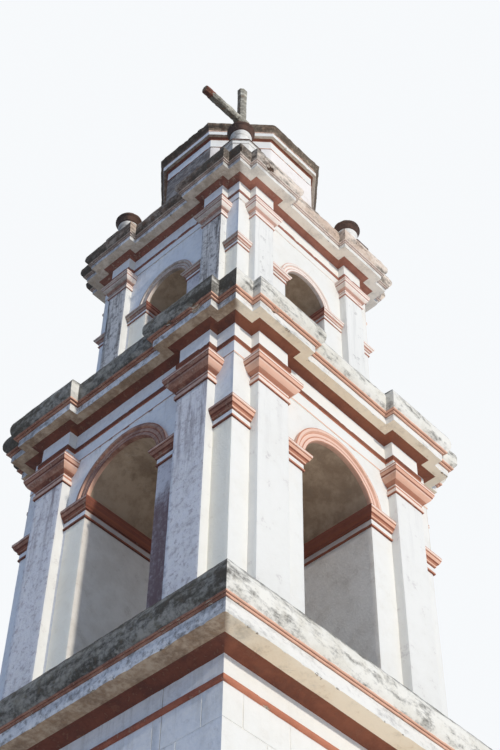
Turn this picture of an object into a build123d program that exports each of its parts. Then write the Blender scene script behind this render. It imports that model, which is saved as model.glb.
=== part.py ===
from build123d import *
import os
from math import atan2, cos, degrees, hypot, radians, sin

os.makedirs("parts", exist_ok=True)

# Bell tower of rendered masonry: a plain square shaft, two belfry storeys with
# one round arch in each face, and a domed octagonal drum that carries a cross.
# Millimetres, +Z up, the origin at the middle of the foot of the shaft.
# The front faces -Y and the cross faces it too.

# Shaft
shaft_half_width = 2100.0
shaft_wall_thickness = 900.0
shaft_wall_height = 11256.0
shaft_floor_thickness = 200.0
string_course_drop = 351.0
string_course_height = 60.0
string_course_projection = 40.0

# Base cornice, which stands on the shaft's walls
base_cove_height = 60.0
base_cove_projection = 195.0
base_soffit_projection = 235.0
base_corona_height = 190.0
base_fillet_height = 24.0
base_fillet_projection = 25.0
base_crown_moulding_height = 400.0
base_crown_moulding_projection = 60.0

# Lower belfry
lower_floor_thickness = 200.0
lower_half_width = 2000.0
lower_opening_half_width = 685.0
lower_spring_height = 3101.0
lower_crown_height = 340.0
lower_pilaster_inset = 324.0
lower_pilaster_width = 576.0
lower_pilaster_projection = 140.0
lower_capital_height = 400.0
lower_capital_projection = 145.0
lower_impost_height = 295.0
lower_impost_rise = 85.0
lower_impost_projection = 100.0
lower_archivolt_width = 195.0
lower_archivolt_projection = 60.0
lower_architrave_height = 230.0
lower_architrave_projection = 12.0
lower_taenia_height = 80.0
lower_taenia_projection = 32.0
lower_frieze_height = 300.0
lower_cove_height = 62.0
lower_cove_projection = 128.0
lower_soffit_projection = 140.0
lower_corona_height = 125.0
lower_fillet_height = 30.0
lower_fillet_projection = 32.0
lower_crown_moulding_height = 350.0
lower_crown_moulding_projection = 53.0
lower_entablature_depth = 700.0

# Upper belfry
upper_floor_thickness = 150.0
upper_floor_margin = 50.0
upper_half_width = 1525.0
upper_opening_half_width = 450.0
upper_spring_height = 2110.0
upper_crown_height = 620.0
upper_pilaster_inset = 252.0
upper_pilaster_width = 415.0
upper_pilaster_projection = 125.0
upper_capital_height = 310.0
upper_capital_projection = 106.0
upper_impost_height = 185.0
upper_impost_rise = 60.0
upper_impost_projection = 75.0
upper_archivolt_width = 150.0
upper_archivolt_projection = 48.0
upper_architrave_height = 160.0
upper_architrave_projection = 9.0
upper_taenia_height = 60.0
upper_taenia_projection = 24.0
upper_frieze_height = 265.0
upper_cove_height = 45.0
upper_cove_projection = 112.0
upper_soffit_projection = 148.0
upper_corona_height = 88.0
upper_fillet_height = 17.0
upper_fillet_projection = 25.0
upper_crown_moulding_height = 271.0
upper_crown_moulding_projection = 45.0
upper_entablature_depth = 520.0

# Finials on the four corners of the second cornice
finial_offset = 1366.0
finial_plinth_width = 640.0
finial_plinth_height = 474.0
finial_plinth_band = 39.0
finial_plinth_band_projection = 24.0
finial_urn_foot_radius = 188.0
finial_urn_neck_radius = 168.0
finial_urn_lip_radius = 215.0
finial_urn_height = 640.0
finial_groove_depth = 12.0
finial_cap_radius = 238.0
finial_cap_height = 130.0

# Octagonal drum and dome
drum_floor_thickness = 150.0
drum_floor_margin = 80.0
drum_half_width = 1282.0
drum_wall_thickness = 350.0
drum_wall_height = 1759.0
drum_band_height = 20.0
drum_band_projection = 10.0
drum_frieze_height = 215.0
drum_bed_height = 50.0
drum_bed_projection = 35.0
drum_soffit_projection = 55.0
drum_corona_height = 120.0
drum_cyma_height = 160.0
drum_cyma_projection = 71.0
dome_setback = 70.0
dome_rise = 980.0
dome_thickness = 160.0
dome_crown_width = 560.0

# Cross and its pedestal
pedestal_radius = 250.0
pedestal_neck_radius = 170.0
pedestal_height = 380.0
cross_height = 2216.0
cross_span = 2060.0
cross_arm_level = 1041.0
cross_section_width = 185.0
cross_section_chamfer = 48.0
cross_flare_length = 260.0
cross_flare = 22.0
cross_crotch_splay = 60.0

# Curved mouldings: the height of each bow as a share of its chord
COVE_BOW = 0.14
CYMA_BOW = 0.06
SWELL_BOW = 0.1
DOME_BOW = 0.2

# Small mouldings, from the wall at their foot to the wall at their top: how each
# point is reached, and its shares of the moulding's projection and height
CAPITAL_STEPS = [("line", 0.16, 0.0), ("line", 0.16, 0.20), ("line", 0.03, 0.20), ("line", 0.03, 0.42),
                 ("swell", 0.80, 0.70), ("line", 1.0, 0.89), ("line", 1.0, 1.0)]
IMPOST_STEPS = [("line", 0.22, 0.0), ("line", 0.22, 0.10), ("line", 0.10, 0.10), ("line", 0.10, 0.45),
                ("line", 0.34, 0.45), ("line", 0.34, 0.54), ("swell", 0.85, 0.80), ("line", 1.0, 0.87),
                ("line", 1.0, 1.0), ("line", 0.0, 1.0)]
# Crown of a cornice: the share of its height where it swells furthest, and the share
# of its projection that is left at its top
CROWN_FULLEST = 0.38
CROWN_TOP = 0.1
# Archivolt, from the arch's edge outwards: shares of its projection and width
ARCHIVOLT_STEPS = [("line", 0.6, 0.0), ("line", 0.6, 0.62), ("line", 1.0, 0.72), ("line", 1.0, 1.0),
                   ("line", 0.0, 1.0)]
# Urn, from its foot to the top of its cap: shares of the body's and the cap's height
URN_GROOVE_AT = 0.65
URN_CAP_FLARE = 0.3
URN_CAP_RIM = 0.75
URN_CAP_TOP_RADIUS = 0.35
# Pedestal of the cross: shares of its height and of its radius
PEDESTAL_FOOT = 0.2
PEDESTAL_NECK = 0.8
PEDESTAL_CAP_RADIUS = 0.85
# Sides of the small round pieces
ROUND_SIDES = 16
# Turn that sets an octagon's sides towards the tower's faces and corners
OCTAGON_TURN = 22.5
# Room left past a mitre when a run is made, before its ends are cut
SPARE = 1.5

SIDES = {"front": 0, "right": 90, "back": 180, "left": 270}


def save(part, name):
    """Write one sub-part to its own file."""
    export_step(part, f"parts/{name}.step")


def section(start, steps):
    """Closed outline of a moulding: x is the projection from the wall plane, y the height.

    Each step says how the next point is reached: a straight line, a hollow cove, a
    moulding or a dome that swells outwards, or an S-shaped cyma made of two bows.
    """
    edges = []
    here = start
    for bend, x, y in steps:
        chord = hypot(x - here[0], y - here[1])
        if bend == "line":
            edges.append(Line(here, (x, y)))
        if bend == "cove":
            edges.append(SagittaArc(here, (x, y), COVE_BOW * chord))
        if bend == "swell":
            edges.append(SagittaArc(here, (x, y), -SWELL_BOW * chord))
        if bend == "dome":
            edges.append(SagittaArc(here, (x, y), -DOME_BOW * chord))
        if bend == "cyma":
            middle = ((here[0] + x) / 2, (here[1] + y) / 2)
            edges.append(SagittaArc(here, middle, CYMA_BOW * chord))
            edges.append(SagittaArc(middle, (x, y), -CYMA_BOW * chord))
        here = (x, y)
    if here != start:
        edges.append(Line(here, start))
    return make_face(edges)


def unit(a, b):
    """Direction in plan from one point to another."""
    length = hypot(b[0] - a[0], b[1] - a[1])
    return Vector((b[0] - a[0]) / length, (b[1] - a[1]) / length, 0)


def run_moulding(outline, points, reach, before=None, after=None):
    """Carry a moulding's outline along plan points, outer side on the right hand.

    The runs meet in mitres. With a point before the first or after the last, that
    end is mitred to the run that would follow. Without one it is cut square.
    """
    path = list(points)
    if before is not None:
        path.insert(0, before)
    if after is not None:
        path.append(after)
    first = 0 if before is None else 1
    last = len(path) - 1 if after is None else len(path) - 2
    runs = []
    for i in range(first, last):
        a, b = path[i], path[i + 1]
        along = unit(a, b)
        outward = Vector(along.Y, -along.X, 0)
        start_cut = along if i == 0 else along + unit(path[i - 1], a)
        end_cut = along if i + 2 == len(path) else along + unit(b, path[i + 2])
        spare = SPARE * reach
        far_end = Vector(*b, 0) + along * spare
        length = hypot(b[0] - a[0], b[1] - a[1]) + 2 * spare
        run = extrude(Plane(origin=far_end, x_dir=outward, z_dir=-along) * outline, length)
        run = split(run, bisect_by=Plane(origin=(*a, 0), z_dir=start_cut), keep=Keep.TOP)
        run = split(run, bisect_by=Plane(origin=(*b, 0), z_dir=end_cut), keep=Keep.BOTTOM)
        runs.append(run)
    whole = runs[0]
    for run in runs[1:]:
        whole = whole + run
    return whole


def ring_moulding(outline, points, reach):
    """A moulding that runs all the way round a closed plan outline."""
    half = len(points) // 2
    ahead = points[half:] + points[:half + 1]
    near = run_moulding(outline, points[:half + 1], reach, points[-1], points[half + 1])
    far = run_moulding(outline, ahead[:half + 1], reach, points[half - 1], points[1])
    return near + far


def block(x0, x1, y0, y1, z0, z1):
    """Upright block between two corners."""
    size = Box(x1 - x0, y1 - y0, z1 - z0, align=(Align.MIN, Align.MIN, Align.MIN))
    return Pos(x0, y0, z0) * size


def turned(part, angle):
    """The same piece turned about the tower's axis."""
    return Rot(0, 0, angle) * part


def save_sides(part, name):
    """Save the front piece and its three turned copies, one for each side."""
    for side, angle in SIDES.items():
        save(turned(part, angle), f"{name}_{side}")


def save_around(parts, name):
    """Save pieces of one corner or side with their three turned copies, as one sub-part."""
    copies = [turned(part, angle) for angle in SIDES.values() for part in parts]
    save(Compound(children=copies), name)


def octagon(half_width):
    """Corners of an octagon with a side towards each face and each corner of the tower."""
    radius = half_width / cos(radians(OCTAGON_TURN))
    angles = [radians(OCTAGON_TURN + 2 * OCTAGON_TURN * k) for k in range(8)]
    return [(radius * cos(a), radius * sin(a)) for a in angles]


def octagon_prism(half_width, height, level):
    """Upright eight-sided prism."""
    outline = RegularPolygon(half_width, 8, major_radius=False, rotation=OCTAGON_TURN)
    return Pos(0, 0, level) * extrude(outline, height)


def round_piece(rings):
    """Turned piece with many narrow flat sides, from rings of radius and level, lowest first."""
    whole = None
    for (foot, level), (top, next_level) in zip(rings, rings[1:]):
        height = next_level - level
        outline = RegularPolygon(foot, ROUND_SIDES, major_radius=False)
        slice_up = Pos(0, 0, level) * extrude(outline, height, taper=degrees(atan2(foot - top, height)))
        whole = slice_up if whole is None else whole + slice_up
    return whole


# Shaft: four walls, the front and back ones over the whole width
shaft_chamber = shaft_half_width - shaft_wall_thickness
front_wall = block(
    -shaft_half_width, shaft_half_width, -shaft_half_width, -shaft_chamber, 0, shaft_wall_height)
side_wall = block(shaft_chamber, shaft_half_width, -shaft_chamber, shaft_chamber, 0, shaft_wall_height)
save(front_wall, "shaft_wall_front")
save(turned(front_wall, 180), "shaft_wall_back")
save(side_wall, "shaft_wall_right")
save(turned(side_wall, 180), "shaft_wall_left")

# Ground floor inside the shaft
ground_floor = block(-shaft_chamber, shaft_chamber, -shaft_chamber, shaft_chamber, 0, shaft_floor_thickness)
save(ground_floor, "shaft_floor")


def square(half_width):
    """Corners of a square about the axis, anticlockwise from the front left one."""
    w = half_width
    return [(-w, -w), (w, -w), (w, w), (-w, w)]


# Thin moulding round the shaft under its frieze
string_course_level = shaft_wall_height - string_course_drop
string_course = section(
    (0, string_course_level),
    [("line", string_course_projection / 2, string_course_level),
     ("line", string_course_projection, string_course_level + string_course_height / 3),
     ("line", string_course_projection, string_course_level + string_course_height),
     ("line", 0, string_course_level + string_course_height)])
save(ring_moulding(string_course, square(shaft_half_width), string_course_projection), "shaft_string_course")


def cornice_steps(level, cove, soffit, corona, fillet, crown):
    """Steps of a cornice from its cove up, its reach and the level of its top.

    Each moulding is its height and projection, and the two fillets are alike. The
    crown swells out and leans back in again towards its top.
    """
    x = cove[1]
    z = level + cove[0]
    steps = [("cove", x, z)]
    x += soffit
    steps.append(("line", x, z))
    z += corona
    steps.append(("line", x, z))
    for _ in range(2):
        x += fillet[1]
        steps.append(("line", x, z))
        z += fillet[0]
        steps.append(("line", x, z))
    reach = x + crown[1]
    top = z + crown[0]
    steps.append(("swell", reach, z + CROWN_FULLEST * crown[0]))
    steps.append(("swell", x + CROWN_TOP * crown[1], top))
    return steps, reach, top


# Base cornice: one mitred length on each side, built on the shaft's walls
base_steps, base_reach, base_top = cornice_steps(
    shaft_wall_height,
    (base_cove_height, base_cove_projection),
    base_soffit_projection,
    base_corona_height,
    (base_fillet_height, base_fillet_projection),
    (base_crown_moulding_height, base_crown_moulding_projection))
base_outline = section(
    (-shaft_wall_thickness, shaft_wall_height),
    [("line", 0, shaft_wall_height)] + base_steps + [("line", -shaft_wall_thickness, base_top)])
base_corners = square(shaft_half_width)
base_length = run_moulding(
    base_outline, base_corners[:2], max(base_reach, shaft_wall_thickness), base_corners[3], base_corners[2])
save_sides(base_length, "base_cornice")


def belfry(name, level, half_width, opening, spring_height, crown_height, pilaster, capital, impost,
           archivolt, architrave, taenia, frieze, cove, soffit, corona, fillet, crown, depth):
    """One belfry storey, from its floor up to the top of its cornice, whose level it returns."""
    inset, width, projection = pilaster
    outer = half_width + projection
    impost_height, impost_rise, impost_projection = impost
    spring = level + spring_height
    impost_top = spring + impost_rise
    wall_top = spring + opening + crown_height

    # Four corner piers as high as the tops of the imposts, which are just above the
    # arches' centres
    pier = block(-half_width, -opening, -half_width, -opening, level, impost_top)
    save_around([pier], f"{name}_piers")

    # Arch wall of one side: everything above the piers between two diagonals,
    # so that its barrel meets the next one in a groin
    wedge = make_face(Polyline((-half_width, -half_width), (half_width, -half_width), (0, 0), close=True))
    wall = Pos(0, 0, impost_top) * extrude(wedge, wall_top - impost_top)
    barrel = Plane(origin=(0, 0, spring), z_dir=(0, -1, 0)) * Cylinder(
        opening, half_width + projection, align=(Align.CENTER, Align.CENTER, Align.MIN))
    save_sides(wall - barrel, f"{name}_arch")

    # Pilasters: two on each side, set in from the corners
    capital_height, capital_projection = capital
    pilaster_x = (half_width - inset - width, half_width - inset)
    strips = []
    capitals = []
    for x0, x1 in (pilaster_x, (-pilaster_x[1], -pilaster_x[0])):
        strips.append(block(x0, x1, -outer, -half_width, level, wall_top - capital_height))
        capitals.append(pilaster_capital(x0, x1, half_width, projection, wall_top, capital_height,
                                         capital_projection))
    save_around(strips, f"{name}_pilasters")
    save_around(capitals, f"{name}_capitals")

    # Imposts: a band round the outer corner of each pier, and one from the pilaster
    # through both reveals to the next pilaster
    band_foot = (0, impost_top - impost_height)
    band = section(band_foot, scaled(IMPOST_STEPS, band_foot, impost_projection, impost_height))
    w = half_width
    at_corner = run_moulding(band, [(-w, -w + inset), (-w, -w), (-w + inset, -w)], impost_projection)
    past = inset + width
    in_arches = run_moulding(
        band, [(-w + past, -w), (-opening, -w), (-opening, -opening), (-w, -opening), (-w, -w + past)],
        impost_projection)
    save_around([at_corner, in_arches], f"{name}_imposts")

    # Archivolts: moulded rings on the wall, standing on the imposts
    archivolt_width, archivolt_projection = archivolt
    ring = archivolt_ring(opening, archivolt_width, archivolt_projection)
    ring = Pos(0, -half_width, spring) * ring
    ring = split(ring, bisect_by=Plane(origin=(0, 0, impost_top), z_dir=(0, 0, 1)), keep=Keep.TOP)
    save_around([ring], f"{name}_archivolts")

    # Entablature: architrave, taenia, frieze and cornice, all broken forward over
    # the pilasters, on a plain core as deep as the wall needs
    frieze_base = wall_top + architrave[0] + taenia[0]
    steps, reach, top = cornice_steps(frieze_base + frieze, cove, soffit, corona, fillet, crown)
    outline = section(
        (-projection, wall_top),
        [("line", architrave[1], wall_top),
         ("line", architrave[1], wall_top + architrave[0]),
         ("line", taenia[1], wall_top + architrave[0]),
         ("line", taenia[1], frieze_base),
         ("line", 0, frieze_base),
         ("line", 0, frieze_base + frieze)] + steps + [("line", -projection, top)])
    plan = [(-w, -w)]
    for x0, x1 in ((-pilaster_x[1], -pilaster_x[0]), pilaster_x):
        plan += [(x0, -w), (x0, -outer), (x1, -outer), (x1, -w)]
    plan.append((w, -w))
    mouldings = run_moulding(outline, plan, max(reach, projection), (-w, -w + inset), (w, -w + inset))
    core = section((-depth, wall_top), [("line", 0, wall_top), ("line", 0, top), ("line", -depth, top)])
    core = run_moulding(core, [(-w, -w), (w, -w)], depth, (-w, w), (w, w))
    save_sides(mouldings + core, f"{name}_entablature")
    return top


def scaled(steps, start, width, height):
    """Steps given as shares, at the real width and height of the moulding from its starting point."""
    return [(bend, start[0] + x * width, start[1] + y * height) for bend, x, y in steps]


def pilaster_capital(x0, x1, half_width, projection, top, height, reach):
    """Capital of one pilaster: the same moulding on its front and both sides, mitred.

    Two long pieces with the moulding on them, one along each direction, share
    just the capital.
    """
    foot = top - height
    middle = (x0 + x1) / 2
    steps = scaled(CAPITAL_STEPS, (0, foot), reach, height)
    length = x1 - x0 + 2 * (reach + SPARE)
    depth = projection + reach + SPARE
    front = section((0, foot), steps + [("line", -projection, top), ("line", -projection, foot)])
    front_plane = Plane(origin=(middle + length / 2, -half_width - projection, 0),
                        x_dir=(0, -1, 0), z_dir=(-1, 0, 0))
    front = extrude(front_plane * front, length)
    flank = section((0, foot), steps + [("line", middle - x1, top), ("line", middle - x1, foot)])
    flank_plane = Plane(origin=(x1, -half_width, 0), x_dir=(1, 0, 0), z_dir=(0, -1, 0))
    right = extrude(flank_plane * flank, depth)
    left = right.mirror(Plane(origin=(middle, 0, 0), z_dir=(1, 0, 0)))
    return front & (left + right)


def archivolt_ring(radius, width, projection):
    """Half ring round an arch, with an inner fascia and a raised outer one, turned about the Y axis."""
    steps = [(bend, radius + across * width, -out * projection) for bend, out, across in ARCHIVOLT_STEPS]
    return revolve(section((radius, 0), steps), Axis.Y, -180)


# Lower belfry: floor slab as wide as the pilasters, then the storey
lower_outer = lower_half_width + lower_pilaster_projection
lower_level = base_top + lower_floor_thickness
save(block(-lower_outer, lower_outer, -lower_outer, lower_outer, base_top, lower_level), "lower_belfry_floor")
lower_top = belfry(
    "lower", lower_level, lower_half_width, lower_opening_half_width, lower_spring_height, lower_crown_height,
    (lower_pilaster_inset, lower_pilaster_width, lower_pilaster_projection),
    (lower_capital_height, lower_capital_projection),
    (lower_impost_height, lower_impost_rise, lower_impost_projection),
    (lower_archivolt_width, lower_archivolt_projection),
    (lower_architrave_height, lower_architrave_projection),
    (lower_taenia_height, lower_taenia_projection),
    lower_frieze_height,
    (lower_cove_height, lower_cove_projection),
    lower_soffit_projection,
    lower_corona_height,
    (lower_fillet_height, lower_fillet_projection),
    (lower_crown_moulding_height, lower_crown_moulding_projection),
    lower_entablature_depth)

# Upper belfry
upper_slab = upper_half_width + upper_pilaster_projection + upper_floor_margin
upper_level = lower_top + upper_floor_thickness
save(block(-upper_slab, upper_slab, -upper_slab, upper_slab, lower_top, upper_level), "upper_belfry_floor")
upper_top = belfry(
    "upper", upper_level, upper_half_width, upper_opening_half_width, upper_spring_height, upper_crown_height,
    (upper_pilaster_inset, upper_pilaster_width, upper_pilaster_projection),
    (upper_capital_height, upper_capital_projection),
    (upper_impost_height, upper_impost_rise, upper_impost_projection),
    (upper_archivolt_width, upper_archivolt_projection),
    (upper_architrave_height, upper_architrave_projection),
    (upper_taenia_height, upper_taenia_projection),
    upper_frieze_height,
    (upper_cove_height, upper_cove_projection),
    upper_soffit_projection,
    upper_corona_height,
    (upper_fillet_height, upper_fillet_projection),
    (upper_crown_moulding_height, upper_crown_moulding_projection),
    upper_entablature_depth)

# Slab over the upper belfry, which carries the drum and the four finials
drum_slab = upper_half_width + upper_pilaster_projection + drum_floor_margin
drum_level = upper_top + drum_floor_thickness
save(block(-drum_slab, drum_slab, -drum_slab, drum_slab, upper_top, drum_level), "drum_floor")

# Finials: an eight-sided plinth with two projecting bands under its top
plinth_half = finial_plinth_width / 2
plinth_top = drum_level + finial_plinth_height
plinth = octagon_prism(plinth_half, finial_plinth_height, drum_level)
for bands_down, share in ((3, 0.6), (2, 0.3), (1, 1.0)):
    band_half = plinth_half + share * finial_plinth_band_projection
    band_level = plinth_top - bands_down * finial_plinth_band
    plinth = plinth + octagon_prism(band_half, finial_plinth_band, band_level)
save_around([Pos(-finial_offset, -finial_offset, 0) * plinth], "finial_plinths")

# Urn of a finial: a body that narrows to a grooved neck and flares into a broad cap
urn_cap = plinth_top + finial_urn_height
groove_level = plinth_top + URN_GROOVE_AT * finial_urn_height
urn = round_piece([
    (finial_urn_foot_radius, plinth_top),
    (finial_urn_neck_radius, groove_level - finial_groove_depth),
    (finial_urn_neck_radius - finial_groove_depth, groove_level),
    (finial_urn_neck_radius, groove_level + finial_groove_depth),
    (finial_urn_lip_radius, urn_cap),
    (finial_cap_radius, urn_cap + URN_CAP_FLARE * finial_cap_height),
    (finial_cap_radius, urn_cap + URN_CAP_RIM * finial_cap_height),
    (URN_CAP_TOP_RADIUS * finial_cap_radius, urn_cap + finial_cap_height)])
save_around([Pos(-finial_offset, -finial_offset, 0) * urn], "finial_urns")

# Drum: an eight-sided wall
drum_top = drum_level + drum_wall_height
drum_shell = octagon_prism(drum_half_width, drum_wall_height, drum_level)
drum_room = octagon_prism(drum_half_width - drum_wall_thickness, drum_wall_height, drum_level)
save(drum_shell - drum_room, "drum_wall")

# Drum cornice, with its thin band, frieze, bed mould, soffit, corona and cyma
band_top = drum_top + drum_band_height
frieze_top = band_top + drum_frieze_height
bed_top = frieze_top + drum_bed_height
soffit_reach = drum_bed_projection + drum_soffit_projection
corona_top = bed_top + drum_corona_height
drum_cornice_top = corona_top + drum_cyma_height
drum_outline = section(
    (-drum_wall_thickness, drum_top),
    [("line", drum_band_projection, drum_top),
     ("line", drum_band_projection, band_top),
     ("line", 0, band_top),
     ("line", 0, frieze_top),
     ("cove", drum_bed_projection, bed_top),
     ("line", soffit_reach, bed_top),
     ("line", soffit_reach, corona_top),
     ("cyma", soffit_reach + drum_cyma_projection, drum_cornice_top),
     ("line", -drum_wall_thickness, drum_cornice_top)])
save(ring_moulding(drum_outline, octagon(drum_half_width), drum_wall_thickness), "drum_cornice")


# Dome: an eight-sided shell with a flat crown for the pedestal
dome_half = drum_half_width - dome_setback
crown_half = dome_crown_width / 2
crown_level = drum_cornice_top + dome_rise
dome_outline = section(
    (-dome_thickness, drum_cornice_top),
    [("line", 0, drum_cornice_top),
     ("dome", crown_half - dome_half, crown_level),
     ("line", -dome_half, crown_level),
     ("line", -dome_half, crown_level - dome_thickness),
     ("line", crown_half - dome_half, crown_level - dome_thickness),
     ("cove", -dome_thickness, drum_cornice_top)])
save(ring_moulding(dome_outline, octagon(dome_half), dome_half), "dome")

# Turned pedestal of the cross
pedestal_top = crown_level + pedestal_height
pedestal_cap_radius = PEDESTAL_CAP_RADIUS * pedestal_radius
pedestal_neck_level = crown_level + PEDESTAL_NECK * pedestal_height
pedestal = round_piece([
    (pedestal_radius, crown_level),
    (pedestal_radius, crown_level + PEDESTAL_FOOT * pedestal_height),
    (pedestal_neck_radius, pedestal_neck_level),
    (pedestal_cap_radius, pedestal_neck_level + cross_section_chamfer),
    (pedestal_cap_radius, pedestal_top)])

# Cross: two bars of chamfered square section with splayed crotches and flared ends
bar = cross_section_width / 2
arm_level = pedestal_top + cross_arm_level
arm_centre = Vector(0, arm_level)


def cross_bar(length, turn):
    """Outline of one limb of the cross, from the crossing outwards, widening at its end."""
    wide = bar + cross_flare
    narrow_to = length - cross_flare_length
    corners = [(0, -bar), (narrow_to, -bar), (length, -wide), (length, wide), (narrow_to, bar), (0, bar)]
    points = [arm_centre + Vector(*corner).rotate(Axis.Z, turn) for corner in corners]
    return make_face(Polyline(*points, close=True))


foot_limb = Pos(0, pedestal_top + cross_arm_level / 2) * Rectangle(cross_section_width, cross_arm_level)
crossing = Pos(0, arm_level) * Rectangle(cross_section_width, cross_section_width)
arms = [cross_bar(cross_span / 2, 0), cross_bar(cross_span / 2, 180)]
head = cross_bar(cross_height - cross_arm_level, 90)
cross_face = foot_limb + crossing + arms + head
crotches = cross_face.vertices().sort_by_distance((0, arm_level))[:4]
cross_face = chamfer(crotches, cross_crotch_splay)
cross_plane = Plane(origin=(0, bar, 0), x_dir=(1, 0, 0), z_dir=(0, -1, 0))
cross = extrude(cross_plane * cross_face, cross_section_width)
outline_edges = cross.faces().sort_by(Axis.Y)[0].edges() + cross.faces().sort_by(Axis.Y)[-1].edges()
foot_edges = outline_edges.group_by(Axis.Z)[0]
cross = chamfer([e for e in outline_edges if e not in foot_edges], cross_section_chamfer)
save(cross + pedestal, "cross")
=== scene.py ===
from math import cos, pi, radians, sin
from types import SimpleNamespace as Namespace

import bmesh
import bpy
import numpy as np
from mathutils import Matrix, Vector


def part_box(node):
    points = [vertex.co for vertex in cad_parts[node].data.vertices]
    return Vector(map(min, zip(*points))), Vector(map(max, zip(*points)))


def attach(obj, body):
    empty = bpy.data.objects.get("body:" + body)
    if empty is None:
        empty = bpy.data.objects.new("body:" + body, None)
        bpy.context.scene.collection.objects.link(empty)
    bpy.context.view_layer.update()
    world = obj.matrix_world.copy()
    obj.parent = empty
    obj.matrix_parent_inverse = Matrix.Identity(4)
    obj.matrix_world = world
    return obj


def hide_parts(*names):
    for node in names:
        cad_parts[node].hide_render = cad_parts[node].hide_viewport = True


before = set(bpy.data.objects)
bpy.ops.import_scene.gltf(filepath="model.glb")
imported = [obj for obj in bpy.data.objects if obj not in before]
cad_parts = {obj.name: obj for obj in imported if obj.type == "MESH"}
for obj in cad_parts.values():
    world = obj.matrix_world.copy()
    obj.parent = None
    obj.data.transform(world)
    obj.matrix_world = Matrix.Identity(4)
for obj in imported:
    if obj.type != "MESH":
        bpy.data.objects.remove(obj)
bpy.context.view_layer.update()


# Shaft walls. Four walls of stone blocks, rendered over and scored with the joints of
# large ashlar, then limewashed. The front and back walls run over the whole width, and
# the side walls stand between them.
COURSE, TOP_JOINT, LOWEST_JOINT, BLOCK_LENGTH = 0.430, 10.475, 0.1, 0.72
UPRIGHT_JOINTS, UPRIGHT_JOINTS_TOP = 6, TOP_JOINT + COURSE - 0.02
JOINT_HALF_WIDTH, JOINT_FLAT, JOINT_DEPTH, JOINT_MARGIN = 0.011, 0.004, 0.010, 0.05
WALL_STEP, LEVEL_STEP = 0.10, 0.12
WALL_WEAR = ((0.006, 0.9), (0.003, 0.16))  # depth and grain of each unevenness
LATTICE = 32
LEDGE_SLACK = 0.001  # points this little above a ledge still count as under it
WELDED_WITHIN, SHORTEST_EDGE = 2e-5, 1e-6

lattice = np.random.default_rng(11).uniform(-1, 1, (LATTICE,) * 3)


def rough(points, grain):
    """Smooth random height from -1 to 1 at each point.

    Random values sit at the corners of a cubic lattice `grain` apart, and are blended
    between them with the S curve 3t^2 - 2t^3 along each axis.
    """
    place = points / grain
    cell = np.floor(place).astype(int)
    share = place - cell
    share = share * share * (3 - 2 * share)
    height = 0
    for corner in np.ndindex(2, 2, 2):
        corner = np.array(corner)
        x, y, z = np.moveaxis((cell + corner) % LATTICE, -1, 0)
        height = height + lattice[x, y, z] * np.prod(np.where(corner, share, 1 - share), -1)
    return height


def plan_line(corners, cuts, closed=False, before=None, after=None):
    """Points along plan corners, their offset directions, and the side that each starts.

    The outer side is on the right hand. At a corner between two runs with normals n1
    and n2 an offset lands at (n1 + n2) / (1 + n1.n2), and between two corners both the
    point and the direction are blended in proportion. cuts is a spacing, or for each
    side the distances from its start at which it is cut.
    """
    corners = np.array(corners, float)
    if closed:
        corners = np.vstack([corners, corners[:1]])
    sides = len(corners) - 1
    chain = corners if before is None else np.vstack([before, corners, after])
    ways = np.diff(chain, axis=0)
    ways = ways / np.hypot(*ways.T)[:, None]
    if before is None:
        ways = ways[np.r_[-1 if closed else 0, :sides, 0 if closed else sides - 1]]
    normals = np.stack([ways[:, 1], -ways[:, 0]], -1)
    n1, n2 = normals[:-1], normals[1:]
    offsets = (n1 + n2) / (1 + (n1 * n2).sum(-1, keepdims=True))
    points, pushes, marks = [], [], []
    for i in range(sides):
        length = np.hypot(*(corners[i + 1] - corners[i]))
        if np.isscalar(cuts):
            pieces = max(1, round(length / cuts))
            share = np.arange(pieces) / pieces
        else:
            share = np.concatenate([[0], np.asarray(cuts[i]) / length])
        share = share[:, None]
        points.append(corners[i] + share * (corners[i + 1] - corners[i]))
        pushes.append((1 - share) * offsets[i] + share * offsets[i + 1])
        marks.append(np.full(len(share), i))
    if not closed:
        points.append(corners[-1:])
        pushes.append(offsets[-1:])
        marks.append([sides - 1])
    return np.vstack(points), np.vstack(pushes), np.concatenate(marks)


def carried(plan, offsets, outline):
    """An outline of (out, up) points carried along a plan: P(i) + out(j) m(i), at up(j).

    Returns the grid of points, and the level direction in which each may be worn back.
    """
    outline = np.asarray(outline, float)
    flat = plan[:, None] + outline[None, :, :1] * offsets[:, None]
    up = np.broadcast_to(outline[None, :, 1:], flat.shape[:2] + (1,))
    push = np.broadcast_to(offsets[:, None], flat.shape)
    return np.concatenate([flat, up], -1), np.concatenate([push, np.zeros(up.shape)], -1)


def straight_up(levels):
    """The outline of a plain upright face."""
    return np.stack([np.zeros(len(levels)), levels], -1)


def quarter_turned(points, turns):
    """Points turned about the tower's axis: (x, y) becomes (-y, x) once for each turn."""
    for _ in range(turns % 4):
        points = np.stack([-points[..., 1], points[..., 0], points[..., 2]], -1)
    return points


def chips(points, arris, amount, grain=0.11, rarity=0.42):
    """How far the arrises are chipped, where a random height passes `rarity`."""
    height = rough(points, grain) + 0.45 * rough(points + 7.3, grain / 3)
    return np.clip((height - rarity) / (1 - rarity), 0, 1) * arris * amount


def weathered(surface, turns=0, wear=(), arris=0.0, chip=0.0, grain=0.11):
    """Turns a surface to its side of the tower, wears it back and chips its arrises.

    Each (depth, grain) of wear moves the points back along their offsets by a random
    part of the depth, never outwards. Returns the points, their offsets and the chips.
    """
    points, push = (quarter_turned(part, turns) for part in surface)
    lost = chips(points, arris, chip, grain) if chip else np.zeros(points.shape[:2])
    for depth, size in wear:
        points = points - push * (0.5 + 0.5 * rough(points, size))[..., None] * depth
    return points - push * lost[..., None], push, lost


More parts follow.
